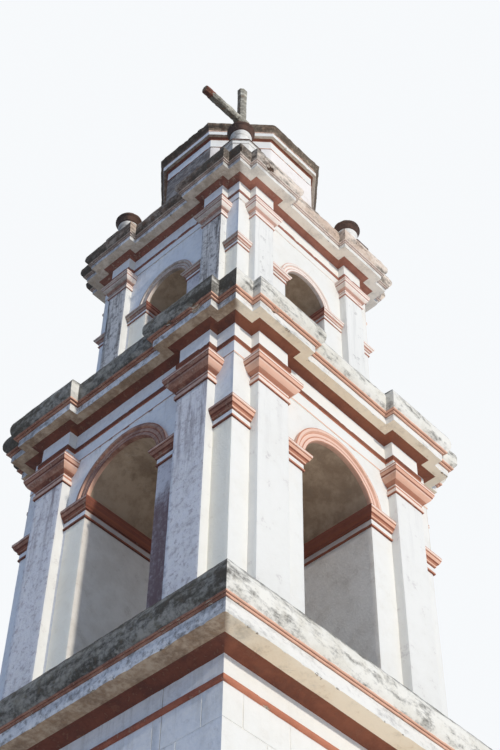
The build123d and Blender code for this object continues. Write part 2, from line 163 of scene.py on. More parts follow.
def dirt(points, ledges, length=0.45, floor_level=None, splash=0.5):
    """Dirt that runs down below ledges and splashes up from a floor.

    It is 1 just under each ledge and on the floor, and fades as exp(-distance / length),
    with the height of the splash for the floor's length.
    """
    soil = np.zeros(points.shape[:2])
    for ledge in ledges:
        drop = ledge - points[..., 2]
        soil = np.maximum(soil, np.where(drop > -LEDGE_SLACK, np.exp(-np.abs(drop) / length), 0))
    if floor_level is not None:
        soil = np.maximum(soil, np.exp(-(points[..., 2] - floor_level) / splash))
    return soil


def patch(points, finish=0, along=True, up=False, soil=0.0, worn=0.0):
    """One grid of a piece: points, finish of each cell, which ways it closes, and its dirt."""
    return Namespace(points=points, finish=finish, wrap=(along, up),
                     soil=np.broadcast_to(soil, points.shape[:2]),
                     worn=np.broadcast_to(worn, points.shape[:2]))


def make_piece(name, patches, finishes, nodes, smooth_angle=32):
    """Puts the grids of a piece into one mesh, welds its seams, and places it on the tower.

    Cell (i, j) has the corners (i, j), (i+1, j), (i+1, j+1), (i, j+1). A grid that is
    open one way is closed at both its ends with one flat face.
    """
    points, faces, finish, soil, worn = [], [], [], [], []
    base = 0
    for grid in patches:
        n, k = grid.points.shape[:2]
        i = np.arange(n if grid.wrap[0] else n - 1)
        j = np.arange(k if grid.wrap[1] else k - 1)
        a, b = np.meshgrid(i, j, indexing="ij")
        c, d = (a + 1) % n, (b + 1) % k
        cells = np.stack([a * k + b, c * k + b, c * k + d, a * k + d], -1)
        faces += (cells.reshape(-1, 4) + base).tolist()
        kinds = np.broadcast_to(grid.finish, cells.shape[:2])
        finish += kinds.ravel().tolist()
        whole = np.arange(n * k).reshape(n, k) + base
        start_and_end = [] if grid.wrap[0] else [whole[0], whole[-1, ::-1]]
        foot_and_top = [] if grid.wrap[1] else [whole[::-1, 0], whole[:, -1]]
        for cap in start_and_end + foot_and_top:
            faces.append(cap.tolist())
            finish.append(int(kinds[0, -1]))
        points.append(grid.points.reshape(-1, 3))
        soil.append(grid.soil.ravel())
        worn.append(grid.worn.ravel())
        base += n * k
    mesh = bpy.data.meshes.new(name)
    mesh.from_pydata(np.vstack(points), [], faces)
    for finish_material in finishes:
        mesh.materials.append(finish_material)
    mesh.polygons.foreach_set("material_index", finish)
    for label, values in (("soil", soil), ("worn", worn)):
        attribute = mesh.attributes.new(label, "FLOAT", "POINT")
        attribute.data.foreach_set("value", np.concatenate(values).astype(np.float32))
    welded = bmesh.new()
    welded.from_mesh(mesh)
    bmesh.ops.remove_doubles(welded, verts=welded.verts, dist=WELDED_WITHIN)
    bmesh.ops.dissolve_degenerate(welded, edges=welded.edges, dist=SHORTEST_EDGE)
    welded.to_mesh(mesh)
    welded.free()
    mesh.shade_smooth()
    mesh.set_sharp_from_angle(angle=radians(smooth_angle))
    piece = bpy.data.objects.new(name, mesh)
    bpy.context.scene.collection.objects.link(piece)
    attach(piece, "root")
    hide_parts(*nodes)


def tone(shade):
    """A colour as it shows on a screen, in hexadecimal, in the shader's linear scale."""
    shown = np.array(list(bytes.fromhex(shade))) / 255
    return (*np.where(shown < 0.04045, shown / 12.92, ((shown + 0.055) / 1.055) ** 2.4), 1)


def add_node(tree, kind, inputs=(), **settings):
    """One node of a finish: settings are its own options, inputs are plain values or links."""
    node = tree.nodes.new(kind)
    for key, value in settings.items():
        setattr(node, key, value)
    for key, value in dict(inputs).items():
        value = getattr(value, "socket", value)
        if isinstance(value, bpy.types.NodeSocket):
            tree.links.new(value, node.inputs[key])
        else:
            node.inputs[key].default_value = value
    return node


class Share:
    """A value that varies over a finish, and adds and multiplies as a number does."""

    def __init__(self, socket):
        self.socket = socket
        self.tree = socket.id_data

    def worked(self, other, kind):
        inputs = {0: self, 1: other}
        return Share(add_node(self.tree, "ShaderNodeMath", inputs, operation=kind).outputs[0])

    def __add__(self, other):
        return self.worked(other, "ADD")

    def __sub__(self, other):
        return self.worked(other, "SUBTRACT")

    def __mul__(self, other):
        return self.worked(other, "MULTIPLY")

    def larger(self, other):
        return self.worked(other, "MAXIMUM")

    def spread(self, low, high, bottom=0.0, top=1.0):
        """Low to high spread over bottom to top with soft ends."""
        inputs = {"Value": self, "From Min": low, "From Max": high,
                  "To Min": bottom, "To Max": top}
        node = add_node(self.tree, "ShaderNodeMapRange", inputs, interpolation_type="SMOOTHSTEP")
        return Share(node.outputs[0])


def clouds(place, scale, detail=6, roughness=0.6):
    """Cloudy values from 0 to 1 over the surface."""
    inputs = {"Vector": place, "Scale": scale, "Detail": detail, "Roughness": roughness}
    return Share(add_node(place.id_data, "ShaderNodeTexNoise", inputs).outputs["Fac"])


def coated(under, over, share):
    """One colour laid over another where the share is high."""
    inputs = {0: share, 6: under, 7: over}
    return add_node(share.tree, "ShaderNodeMix", inputs, data_type="RGBA").outputs[2]


def limewash(name, shades, mottle=0.5, run_off=0.3, mould=0.3, flaking=0.3, sand=1.0,
             damp_and_shade_share=0.85, cracks=0.15, marbling=0.0, grime=None, exposed=False):
    """Old limewash on lime render, in the shades of its wash, second tone, stain and core.

    Two tones of the wash lie in clouds. The sides away from the sun (-X and +Y) stay damp:
    they, and the faces turned downwards on them, turn to a fifth, darker tone that is partly
    damp staining and partly painted shade, and grow mould, and so does an exposed piece on
    any side wherever it faces those ways. Run-off stains hang below ledges, dark growth
    marbles the soiled places along the courses, grime veils them, flakes show the render
    below, hairline cracks cross it, growth blackens what faces the sky, and a broken place
    shows its sandy core.
    """
    material = bpy.data.materials.new(name)
    material.use_nodes = True
    tree = material.node_tree
    shader = tree.nodes["Principled BSDF"]
    wash, second, stain, core, *damp = (tone(shade) for shade in shades.split())

    place = add_node(tree, "ShaderNodeTexCoord").outputs["Object"]
    stretched, flattened = (
        add_node(tree, "ShaderNodeMapping", {"Vector": place, "Scale": scale}).outputs[0]
        for scale in ((9.0, 9.0, 0.7), (1.0, 1.0, 3.2)))
    normal = add_node(tree, "ShaderNodeNewGeometry").outputs["Normal"]
    facing, spot = (
        [Share(part) for part in add_node(tree, "ShaderNodeSeparateXYZ", {0: vector}).outputs]
        for vector in (normal, place))
    soil, worn = (
        Share(add_node(tree, "ShaderNodeAttribute", attribute_name=label).outputs["Fac"])
        for label in ("soil", "worn"))

    broad = clouds(place, 0.9)
    middle = clouds(place, 4.2, 8, 0.68)
    fine = clouds(place, 13.0, 8, 0.72)
    speckle = clouds(place, 34.0, 6, 0.7)
    grit = clouds(place, 140.0, 3, 0.6)
    drips = clouds(stretched, 1.0, 8, 0.7)
    courses = clouds(flattened, 2.6, 8, 0.68)

    # The wash, and its damp side, whose darker tone is partly painted shade
    colour = coated(wash, second, (broad + middle).spread(0.86, 1.24, 0, mottle))
    # Faces turned from the key lamp (-X, +Y) or downwards count as the damp side; the darker tone
    # laid there is painted shade as well as damp
    away = facing[0] - facing[1] + facing[2].spread(-1.0, 0.0, -1.0, 0.0)
    sunless = (spot[0] - spot[1]).spread(0.10, -0.03, 0.3 if exposed else 0.0)
    damp_and_shade_side = away.spread(0.15, -0.80) * sunless
    # The fifth tone, laid on the damp side: partly damp staining, partly painted shade
    if damp:
        patchy = (courses + fine).spread(0.80, 1.20, 0.72, 1.0)
        colour = coated(colour, damp[0], damp_and_shade_side * patchy * damp_and_shade_share)

    # Mould, dust, run-off and dark growth
    blooms = middle.spread(0.46, 0.62) * fine.spread(0.42, 0.60)
    grown = blooms.larger(fine.spread(0.50, 0.66)) * damp_and_shade_side
    colour = coated(colour, stain, grown * mould)
    dust = middle.spread(0.56, 0.70) * speckle.spread(0.45, 0.62)
    colour = coated(colour, stain, dust * (0.3 * run_off))
    streaks = drips.spread(0.48, 0.64) * soil.spread(0.05, 0.9)
    streaks = streaks * damp_and_shade_side.spread(0.0, 1.0, 0.12, 1.0)
    colour = coated(colour, stain, streaks * run_off)
    marbled = (courses * 1.45 + fine * 0.55 + soil * 0.5).spread(1.03, 1.42)
    marbled = marbled * speckle.spread(0.36, 0.56, 0.75, 1.0)
    colour = coated(colour, tone("443F38"), marbled * marbling)
    if grime:
        veil = (soil + fine * 1.2 + drips * 0.8).spread(1.25, 2.1, 0.0, 0.95)
        colour = coated(colour, tone(grime), veil)
    growth = middle.spread(0.36, 0.58) * facing[2].spread(0.25, 0.9)
    colour = coated(colour, tone("3A3C36"), growth * min(1.0, 0.4 + mould))

    # Flakes, broken places and cracks
    flakes = middle.spread(0.60, 0.62) * speckle.spread(0.42, 0.50) * 0.5
    flakes = flakes.larger(fine.spread(0.575, 0.60) * damp_and_shade_side * 0.8)
    colour = coated(colour, core, flakes * flaking)
    broken = (worn + speckle.spread(0.2, 0.8, -0.2, 0.2)).spread(0.3, 0.42)
    broken_tone = coated(core, tone("3C3028"), speckle.spread(0.42, 0.62, 0, 0.75))
    colour = coated(colour, broken_tone, broken)
    wander = add_node(tree, "ShaderNodeTexNoise", {"Vector": place, "Scale": 2.4, "Detail": 5.0})
    bend = add_node(tree, "ShaderNodeMix", {0: 0.16, 4: place, 5: wander.outputs["Color"]},
                    data_type="VECTOR").outputs[1]
    cells = add_node(tree, "ShaderNodeTexVoronoi", {"Vector": bend, "Scale": 0.8},
                     feature="DISTANCE_TO_EDGE")
    crack = Share(cells.outputs["Distance"]).spread(0.005, 0.001) * broad.spread(0.52, 0.62)
    colour = coated(colour, tone("605246"), crack * cracks)
    tree.links.new(colour, shader.inputs["Base Color"])

    # Roughness and relief, in metres
    tree.links.new(speckle.spread(0.3, 0.7, 0.82, 0.96).socket, shader.inputs["Roughness"])
    shader.inputs["Specular IOR Level"].default_value = 0.25
    height = grit * (0.0035 * sand) + speckle * (0.010 * sand) + fine * (0.004 * sand)
    height = height * damp_and_shade_side.spread(0.0, 1.0, min(1.0, 1.6 / sand), 1.0)
    height = height + middle * 0.022 + flakes * -0.003 + crack * -0.003 + broken * -0.006
    inputs = {"Height": height, "Distance": 1.0, "Strength": 0.55}
    bump = add_node(tree, "ShaderNodeBump", inputs)
    tree.links.new(bump.outputs[0], shader.inputs["Normal"])
    return material


# The fifth shade given to a limewash is its darker tone on the damp side, partly damp and partly
# painted shade
white_wash = limewash("white_limewash", "F2EFE7 EAE5D9 969286 C8BCA8 CCD2DF", mottle=0.4,
                      run_off=0.22, mould=0.12, flaking=0.07, damp_and_shade_share=0.65, cracks=0.08)
shaft_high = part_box("shaft_wall_front")[1]
string_low, string_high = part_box("shaft_string_course")
shaft_half = shaft_high.x
chamber_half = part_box("shaft_wall_left")[1].y
bed_joints = np.arange(TOP_JOINT, LOWEST_JOINT, -COURSE)


def joint_cuts(low, high, joints, step):
    """Distances at which a side is cut: evenly, and at both edges of each joint."""
    edges = [joint + edge for joint in joints
             for edge in (-JOINT_HALF_WIDTH, -JOINT_FLAT, JOINT_FLAT, JOINT_HALF_WIDTH)]
    even = np.linspace(low, high, max(2, int((high - low) / step) + 1))
    clear = [e for e in even[1:-1] if min(abs(e - j) for j in edges) > 2 * JOINT_HALF_WIDTH]
    return np.array(sorted([low] + clear + [e for e in edges if low < e < high]))


def groove(distance):
    """Share of a joint's depth at a distance from its middle: a flat bed and sloping sides."""
    return np.clip((JOINT_HALF_WIDTH - np.abs(distance)) / (JOINT_HALF_WIDTH - JOINT_FLAT), 0, 1)


def scoring(along, levels):
    """Depth of the scored joints over a wall face, for places along it and levels up it.

    A bed joint is a groove at its level, and an upright one stops at the bed joints
    above and below and breaks step in every second course.
    """
    bed = groove(levels[None, :, None] - bed_joints[None, None]).max(-1)
    course = np.floor((TOP_JOINT + COURSE - levels) / COURSE).astype(int)
    shift = np.where(course % 2 == 0, BLOCK_LENGTH / 2, 0.0)
    phase = (along[:, None] - shift + BLOCK_LENGTH / 2) % BLOCK_LENGTH - BLOCK_LENGTH / 2
    upright_joint = groove(phase) * (levels < UPRIGHT_JOINTS_TOP)
    return np.maximum(bed, upright_joint) * JOINT_DEPTH


shaft_levels = joint_cuts(0.0, shaft_high.z, bed_joints[::-1], LEVEL_STEP)
shaft_levels = np.append(shaft_levels, shaft_high.z)
upright_joints = np.arange(-UPRIGHT_JOINTS, UPRIGHT_JOINTS + 1) * BLOCK_LENGTH / 2


def shaft_wall(name, x_half, y_out, y_in, turns, scored):
    """One shaft wall: its plan carried upwards, with joints cut into its outer faces."""
    corners = [(-x_half, -y_out), (x_half, -y_out), (x_half, -y_in), (-x_half, -y_in)]
    cuts = [[] for _ in corners]
    for side, start, length in ((0, -x_half, 2 * x_half), (1, -y_out, y_out - y_in),
                                (3, y_in, y_out - y_in)):
        if scored[side]:
            end = start + length
            joints = [p for p in upright_joints if start + JOINT_MARGIN < p < end - JOINT_MARGIN]
            cuts[side] = joint_cuts(start, end, joints, WALL_STEP)[1:] - start
    plan, offsets, marks = plan_line(corners, cuts, closed=True)
    points, push = carried(plan, offsets, straight_up(shaft_levels))
    along = np.where(marks == 0, plan[:, 0], plan[:, 1])
    outer = np.array([scored[m] for m in marks]) | np.isclose(np.abs(plan[:, 1]), y_out)
    depth = scoring(along, shaft_levels) * outer[:, None]
    cut = points - push * depth[..., None], push * outer[:, None, None]
    points, _, _ = weathered(cut, turns, WALL_WEAR)
    grid = patch(points, soil=dirt(points, [string_low.z, shaft_high.z], floor_level=0.0))
    new_name = name.replace("shaft_wall", "scored_wall")
    make_piece(new_name, [grid], [white_wash], [name])


for name, turns in (("shaft_wall_front", 0), ("shaft_wall_back", 2)):
    shaft_wall(name, shaft_half, shaft_half, chamber_half, turns, (True, True, False, True))
for name, turns in (("shaft_wall_right", 1), ("shaft_wall_left", 3)):
    shaft_wall(name, chamber_half, shaft_half, chamber_half, turns, (True, False, False, False))

# The ground floor inside the shaft and the belfries' and drum's floors, rendered slabs
# that little shows.
floor_screed = limewash("floor_screed", "B0A898 968E80 5C564C 8C8070", mottle=0.4, run_off=0.2,
                        mould=0.7, flaking=0.15)
for name in ("shaft_floor", "lower_belfry_floor", "upper_belfry_floor", "drum_floor"):
    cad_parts[name].data.materials.clear()
    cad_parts[name].data.materials.append(floor_screed)


# String course. A thin band of moulded render run round the shaft under its frieze,
# painted in terracotta limewash, with a splayed lower edge.
STRING_EASE, STRING_STEP, STRING_CHIP, STRING_BARE = 0.006, 0.05, 0.010, 90
BACK_IN_WALL = 0.03
TRIM_WEAR = ((0.003, 0.3),)
# Each bow's height as a share of its chord, and its parts; a cyma has two
BOWS = {"cove": (0.14, 8), "swell": (-0.10, 8), "dome": (-0.2, 16)}
CYMA_BOW = 0.06, 5
SHARPEST_KEPT = 0.94  # a smaller turn than this cosine isn't eased
MOST_EASED = 0.35  # share of a side that one corner may take up
ARRIS_LEAN, BESIDE_ARRIS = -0.2, 0.6  # an arris is a corner whose sides both run back


def bowed(a, b, bow, count):
    """A shallow bow from a to b: a + t(b - a) + 4 bow t(1 - t) |b - a| N, N on the left."""
    a, b = np.array(a, float), np.array(b, float)
    chord = b - a
    t = np.linspace(0, 1, count + 1)[1:, None]
    left = np.array([-chord[1], chord[0]])
    return list(a + t * chord + 4 * bow * t * (1 - t) * left)


def moulding(start, steps):
    """An outline from its starting point and its steps, and the finish of each stretch.

    A step goes to the point (out, up) in a finish. It is a straight line, or a cove,
    a swell, a dome, or a cyma that is hollow below and swells above, where a fourth
    word says so. Several finishes share a bow evenly, from its foot up.
    """
    outline, finishes = [np.array(start, float)], []
    for out, up, finish, *kind in steps:
        here, there = outline[-1], np.array([out, up], float)
        if not kind:
            new = [there]
        elif kind == ["cyma"]:
            middle = (here + there) / 2
            new = bowed(here, middle, *CYMA_BOW) + bowed(middle, there, -CYMA_BOW[0], CYMA_BOW[1])
        else:
            new = bowed(here, there, *BOWS[kind[0]])
        bands = finish if isinstance(finish, tuple) else (finish,)
        outline += new
        finishes += [bands[i * len(bands) // len(new)] for i in range(len(new))]
    return outline, finishes


def eased(outline, finishes, radius, closed=True):
    """Rounds each sharp corner C over a distance r: C + r a, C + 0.29 r (a + b), C + r b.

    a and b point from the corner to its neighbours. Also says which points are arrises.
    """
    points, kinds, arris = [], [], []
    count = len(outline)
    finishes = list(finishes) + [finishes[-1]] * (count - len(finishes))
    for i, corner in enumerate(outline):
        a = outline[i - 1] - corner
        b = outline[(i + 1) % count] - corner
        long_a, long_b = np.hypot(*a), np.hypot(*b)
        end = not closed and i in (0, count - 1)
        if end or -(a @ b) / (long_a * long_b) > SHARPEST_KEPT:
            points.append(corner)
            kinds.append(finishes[i])
            arris.append(0.0)
            continue
        r = min(radius, MOST_EASED * long_a, MOST_EASED * long_b)
        a, b = a / long_a, b / long_b
        points += [corner + r * a, corner + 0.29 * r * (a + b), corner + r * b]
        kinds += [finishes[i - 1], finishes[i], finishes[i]]
        outward = a[0] + b[0] < ARRIS_LEAN
        arris += [BESIDE_ARRIS * outward, 1.0 * outward, BESIDE_ARRIS * outward]
    return np.array(points), np.array(kinds), np.array(arris)


def divided(points, kinds, arris, step):
    """Cuts long straight stretches of an outline into equal parts."""
    new_points, new_kinds, new_arris = [points[0]], [], [arris[0]]
    for i in range(len(points) - 1):
        parts = max(1, int(np.hypot(*(points[i + 1] - points[i])) / step))
        share = np.arange(1, parts + 1)[:, None] / parts
        new_points += list(points[i] + share * (points[i + 1] - points[i]))
        new_kinds += [kinds[i]] * parts
        new_arris += [0.0] * (parts - 1) + [arris[i + 1]]
    return np.array(new_points), np.array(new_kinds + [kinds[-1]]), np.array(new_arris)


def profile(start, steps, ease, step=None, closed=False):
    """A moulding's outline, finishes and arrises, eased, and cut no longer than a step."""
    outline = eased(*moulding(start, steps), ease, closed)
    return divided(*outline, step) if step else outline


def ring(corners, spacing, outline):
    """An outline carried round closed plan corners."""
    plan, offsets, _ = plan_line(corners, spacing, closed=True)
    return carried(plan, offsets, outline)


terracotta = limewash("terracotta_limewash", "C48064 B06C52 684236 CEBAA4 703E36", mottle=0.6,
                      mould=0.4)
string_reach = -string_low.y - shaft_half
string_height = string_high.z - string_low.z
outline, kinds, arris = profile((-BACK_IN_WALL, string_low.z), [
    (string_reach / 2, string_low.z, 0),
    (string_reach, string_low.z + string_height / 3, 0),
    (string_reach, string_high.z, 0),
    (-BACK_IN_WALL, string_high.z, 0)], STRING_EASE, closed=True)
square = [(x * shaft_half, y * shaft_half) for x, y in ((-1, -1), (1, -1), (1, 1), (-1, 1))]
points, _, chip = weathered(ring(square, STRING_STEP, outline), 0, TRIM_WEAR, arris, STRING_CHIP)
grid = patch(points, up=True, worn=chip * STRING_BARE)
make_piece("string_course_band", [grid], [terracotta], ["shaft_string_course"])


# Base cornice. Projecting courses run in lime render on the head of the shaft, with a
# brown cove, a tan soffit, a white corona, two painted fillets and a swelling crown
# that the weather has stained; on the sides away from the sun the crown turns near black,
# partly stains and partly painted shade. It is built as one mitred length a side.
BASE = Namespace(cove=(0.060, 0.195), soffit=0.235, corona=0.190, fillet=(0.024, 0.025),
                 crown=(0.400, 0.060), soiled=(0.6, 0.2), lumpy=0.010)
CROWN_FULLEST, CROWN_TOP = 0.38, 0.1
FILLET_LINE = 0.3  # the share of a fillet's underside that is painted dark
CORNICE_EASE, CORNICE_STEP, CORNICE_CHIP = 0.010, 0.028, 0.028
CORNICE_WEAR = ((0.006, 0.7), (0.003, 0.09))
CROWN_LUMPS, BREAK_DEPTH, CORNICE_BARE = 0.07, 0.04, 30
OUTLINE_STEP = 0.05
SPOT_EDGE, SPOT_RAGGED, SPOT_GRAIN = 2.5, 1.2, 0.045
EVEN_SOIL, EDGE_SOIL, EDGE_DRIP, CORNER_FADE, DRY_CORNER = 0.12, 0.7, 0.08, 0.7, 0.45

cove_red = limewash("cove_brown_limewash", "8E5842 764636 462C24 B08468 58322C", mottle=0.8,
                    run_off=0.5, mould=0.2, flaking=0.25, damp_and_shade_share=0.8, marbling=0.3)
soffit_tan = limewash("soffit_tan_limewash", "F6E6CC EAD4B4 8C7058 B89A7A 7C5E46", mottle=0.6,
                      run_off=0.4, damp_and_shade_share=0.88, marbling=0.3)
corona_white = limewash("corona_limewash", "F4F0E7 E8E3D6 5C5C5A BCAC96 B8BECC", run_off=0.35,
                        mould=0.7, flaking=0.15, damp_and_shade_share=0.75, marbling=0.45)
peach = limewash("peach_limewash", "EEBEA3 E2AC8F 8C604E D4C4B0 5C362E", mould=0.35, damp_and_shade_share=0.92,
                 exposed=True)
weathered_crown = limewash("weathered_crown", "F6F1E5 E2DBCA 707062 806854 28282A", mottle=0.75,
                           run_off=0.5, mould=0.4, flaking=0.2, sand=2.4, damp_and_shade_share=0.97,
                           marbling=0.9, exposed=True)
CORNICE_FINISHES = [white_wash, cove_red, soffit_tan, peach, weathered_crown, terracotta,
                    corona_white]
WHITE, COVE_RED, SOFFIT_TAN, PEACH, CROWN, TERRACOTTA, CORONA = range(7)


def cornice_steps(level, sizes):
    """Steps of a cornice from its cove up, and its top."""
    out, up = sizes.cove[1], level + sizes.cove[0]
    steps = [(out, up, COVE_RED, "cove")]
    out += sizes.soffit
    steps.append((out, up, SOFFIT_TAN))
    up += sizes.corona
    steps.append((out, up, CORONA))
    rise, reach = sizes.fillet
    for _ in range(2):
        steps.append((out + FILLET_LINE * reach, up, COVE_RED))
        out += reach
        steps += [(out, up, PEACH), (out, up + rise, PEACH)]
        up += rise
    height, swell = sizes.crown
    steps += [(out + swell, up + CROWN_FULLEST * height, CROWN, "swell"),
              (out + CROWN_TOP * swell, up + height, CROWN, "swell")]
    return steps, up + height


def spoiled(points, spots):
    """Broken-out places, of a centre and a radius each, with a ragged edge: 1 at the heart."""
    hurt = np.zeros(points.shape[:-1])
    for x, y, z, radius in spots:
        away = np.linalg.norm(points - np.array([x, y, z]), axis=-1) / radius
        ragged = SPOT_RAGGED * rough(points, SPOT_GRAIN)
        hurt = np.maximum(hurt, np.clip(SPOT_EDGE * (1 - away) + ragged, 0, 1))
    return hurt


def cornice_length(name, node, turns, plan_corners, ends, moulded, back, ledges, finishes,
                   sizes, spots=()):
    """One mitred length of a cornice on a straight core.

    Its outline is carried along the plan corners, and each column ends behind on a
    straight line `back` from the axis, spread over it by its distance along the plan.
    It is dirtiest at its corners, more so on a damp side than on a sunny one.
    """
    outline, kinds, arris = moulded
    plan, offsets, _ = plan_line(plan_corners, CORNICE_STEP, before=ends[0], after=ends[1])
    points, push = carried(plan, offsets, outline)
    reach = np.abs(points[..., :2]).max()
    travel = np.concatenate([[0], np.cumsum(np.hypot(*np.diff(plan, axis=0).T))])
    across = back * (2 * travel / travel[-1] - 1)
    rear = np.stack([across, np.full(len(across), -back)], -1)
    low, high = (np.concatenate([rear, np.full((len(rear), 1), level)], -1)[:, None]
                 for level in (outline[0, 1], outline[-1, 1]))
    points = quarter_turned(np.concatenate([low, points, high], 1), turns)
    push = quarter_turned(np.concatenate([0 * low, push, 0 * high], 1), turns)
    arris = np.concatenate([[0], arris, [0]])
    kinds = np.concatenate([[WHITE], kinds, [CROWN]])
    crown = (kinds == CROWN) * 1.0
    hurt = spoiled(points, spots)
    chip = chips(points, arris * (1 + crown), CORNICE_CHIP)
    points, _, _ = weathered((points, push), 0, CORNICE_WEAR)
    lumps = (0.5 + 0.5 * rough(points, CROWN_LUMPS)) * crown * sizes.lumpy
    points = points - push * (chip + lumps + BREAK_DEPTH * hurt)[..., None]
    corner = np.hypot(np.abs(points[..., 0]) - reach, np.abs(points[..., 1]) - reach)
    wet = np.where((points[..., 0] > 0) & (points[..., 1] < 0), DRY_CORNER, 1.0)
    at_corner = sizes.soiled[turns in (0, 1)]
    soil = np.maximum(EDGE_SOIL * dirt(points, ledges, EDGE_DRIP),
                      EVEN_SOIL + at_corner * wet * np.exp(-corner / CORNER_FADE))
    grid = patch(points, kinds[None, :], False, True, soil, chip * CORNICE_BARE + hurt)
    make_piece(name, [grid], finishes, [node])


SIDES = {"front": 0, "right": 1, "back": 2, "left": 3}
base_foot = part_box("base_cornice_front")[0].z
steps, base_top = cornice_steps(base_foot, BASE)
base_profile = profile((-BACK_IN_WALL, base_foot), [(0.0, base_foot, WHITE)] + steps,
                       CORNICE_EASE, OUTLINE_STEP)
for side, turns in SIDES.items():
    cornice_length(f"base_crown_{side}", f"base_cornice_{side}", turns, square[:2],
                   (square[3], square[2]), base_profile, chamber_half, [base_top],
                   CORNICE_FINISHES, BASE)


# Belfry piers. Four square piers of rendered masonry on each storey's floor slab, white
# outside, with bare greyed render on the two reveals that face the openings. A warm cream
# on some side strips is painted light thrown back from the sunlit pilasters, and a grimed
# strip beside the near pilaster is darkened partly as grime and partly as its painted shadow.
STOREYS = {
    "lower": Namespace(inset=0.324, width=0.576, opening=0.685, rise=0.085, trim="terracotta_trim"),
    "upper": Namespace(inset=0.252, width=0.415, opening=0.450, rise=0.060, trim="rose_trim")}
PIER_EASE, PIER_STEPS = 0.010, (0.07, 0.11)
PIER_WEAR = ((0.006, 0.8), (0.003, 0.14))
PIER_SPLASH = 0.35
VEIL_BELOW, VEIL_FADE, VEIL_RAGGED, VEIL_GRAIN = 0.3, 0.5, 0.3, 0.2

reveal_wash = limewash("reveal_limewash", "F0E9DE DCD3C6 8C8074 B4A694", mottle=0.7, run_off=0.25,
                       mould=0.0, sand=5.0, cracks=0.0)
# The vaults' darker brown is partly soiling and partly painted shade
vault_wash = limewash("vault_limewash", "BEA68C 988069 5A4A3C CEC2B0", mottle=0.9, run_off=0.4,
                      mould=0.0, flaking=0.2, sand=1.6)
# A darker, grimed wash for the strip beside the near pilaster: partly grime, partly the pilaster's
# painted shadow
grimed_and_shaded_wash = limewash("grimed_and_shaded_limewash", "E8E4E4 D0C8CA 605256 968A8C C6C4CC", mottle=0.8,
                       mould=0.4, flaking=0.06, sand=5.0, damp_and_shade_share=0.7, grime="725C5E")
# A warm cream laid where the sunlit pilasters throw light back onto the piers: painted light
bounce_lit_wash = limewash("bounce_lit_limewash", "FDF8EA F4ECDA A09482 D6C8B2", run_off=0.2, mould=0.0,
                      flaking=0.1, sand=5.0, cracks=0.05)
WALL_FINISHES = [white_wash, reveal_wash, vault_wash, grimed_and_shaded_wash, bounce_lit_wash]
REVEAL, VAULT, GRIMED_AND_SHADED, BOUNCE_LIT = 1, 2, 3, 4

for name, storey in STOREYS.items():
    pier_low, pier_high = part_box(f"{name}_piers")
    pilaster_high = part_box(f"{name}_pilasters")[1]
    storey.half, storey.level, storey.impost_top = pier_high.x, pier_low.z, pier_high.z
    storey.outer, storey.capital_foot = pilaster_high.x, pilaster_high.z
    storey.far = storey.half - storey.inset
    storey.near = storey.half - storey.inset - storey.width
    storey.spring = storey.impost_top - storey.rise
    storey.impost_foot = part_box(f"{name}_imposts")[0].z
    storey.wall_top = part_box(f"{name}_arch_front")[1].z


def upright(corners, low, high, radius, spacing, step):
    """A block carried straight up from eased plan corners, with the side of each column."""
    corners = [np.array(c, float) for c in corners]
    eased_corners, sides, _ = eased(corners, range(len(corners)), radius)
    plan, offsets, marks = plan_line(eased_corners, spacing, closed=True)
    levels = np.linspace(low, high, max(2, int((high - low) / step) + 1))
    return carried(plan, offsets, straight_up(levels)), sides[marks]


for name, storey in STOREYS.items():
    grids = []
    outer, inner, foot = storey.half, storey.opening, storey.impost_foot
    corners = [(-outer, -outer), (-inner, -outer), (-inner, -inner), (-outer, -inner)]
    surface, sides = upright(corners, storey.level, storey.impost_top, PIER_EASE, *PIER_STEPS)
    for turns in range(4):
        points, _, _ = weathered(surface, turns, PIER_WEAR)
        in_reveal = np.isin(sides, (1, 2))
        beside = np.abs(points[:, 0, :2]).min(1) < storey.near + PIER_EASE
        left_side = (sides == 3) & (turns in (0, 3))
        # Beside the near pilasters: a grimed strip that is also their painted shadow, and warm
        # cream strips of painted bounce light
        grimy_and_shaded = beside & left_side
        bounce_lit = (~beside & left_side) | (beside & (sides == 0) & (turns in (2, 3)))
        soil = dirt(points, [foot], floor_level=storey.level, splash=PIER_SPLASH)
        veiled = np.clip((foot - VEIL_BELOW - points[..., 2]) / VEIL_FADE
                         + VEIL_RAGGED * rough(points, VEIL_GRAIN), 0, 1)
        soil = np.where(grimy_and_shaded[:, None], veiled, soil)
        finish = np.select([in_reveal, grimy_and_shaded, bounce_lit], [REVEAL, GRIMED_AND_SHADED, BOUNCE_LIT], WHITE)[:, None]
        grids.append(patch(points, finish, soil=soil))
    make_piece(f"{name}_pier_blocks", grids, WALL_FINISHES, [f"{name}_piers"])


# Pilasters. Flat strips of render over brick, two on each face, bonded to the piers and
# set in from the corners; on the damp side their limewash has weathered through to grey,
# and that tone is partly painted shade.
PILASTER_EASE, PILASTER_STEPS = 0.007, (0.05, 0.09)
PILASTER_WEAR = ((0.005, 0.6), (0.003, 0.1))
PILASTER_RUN_OFF = {"lower": 1.5, "upper": 2.4}
PILASTER_SPLASH = 0.4
PILASTER_FINISHES = {
    "lower": limewash("pilaster_limewash", "F3F0E8 EBE7DD 80727A B4A4A6 F2F1F7", run_off=0.7,
                      mould=0.42, sand=14.0, cracks=0.05),
    "upper": limewash("streaked_limewash", "F3F0E8 EBE7DD 423C3C 786E6C C6C4C6", mottle=0.3,
                      run_off=1.0, mould=0.6, flaking=0.4, sand=10.0, cracks=0.05)}


def strip_corners(storey, side):
    """Plan corners of the front pilaster on one side, from its right side round its back."""
    left, right = sorted((side * storey.near, side * storey.far))
    back = -storey.half + BACK_IN_WALL
    return [(left, back), (left, -storey.outer), (right, -storey.outer), (right, back)]


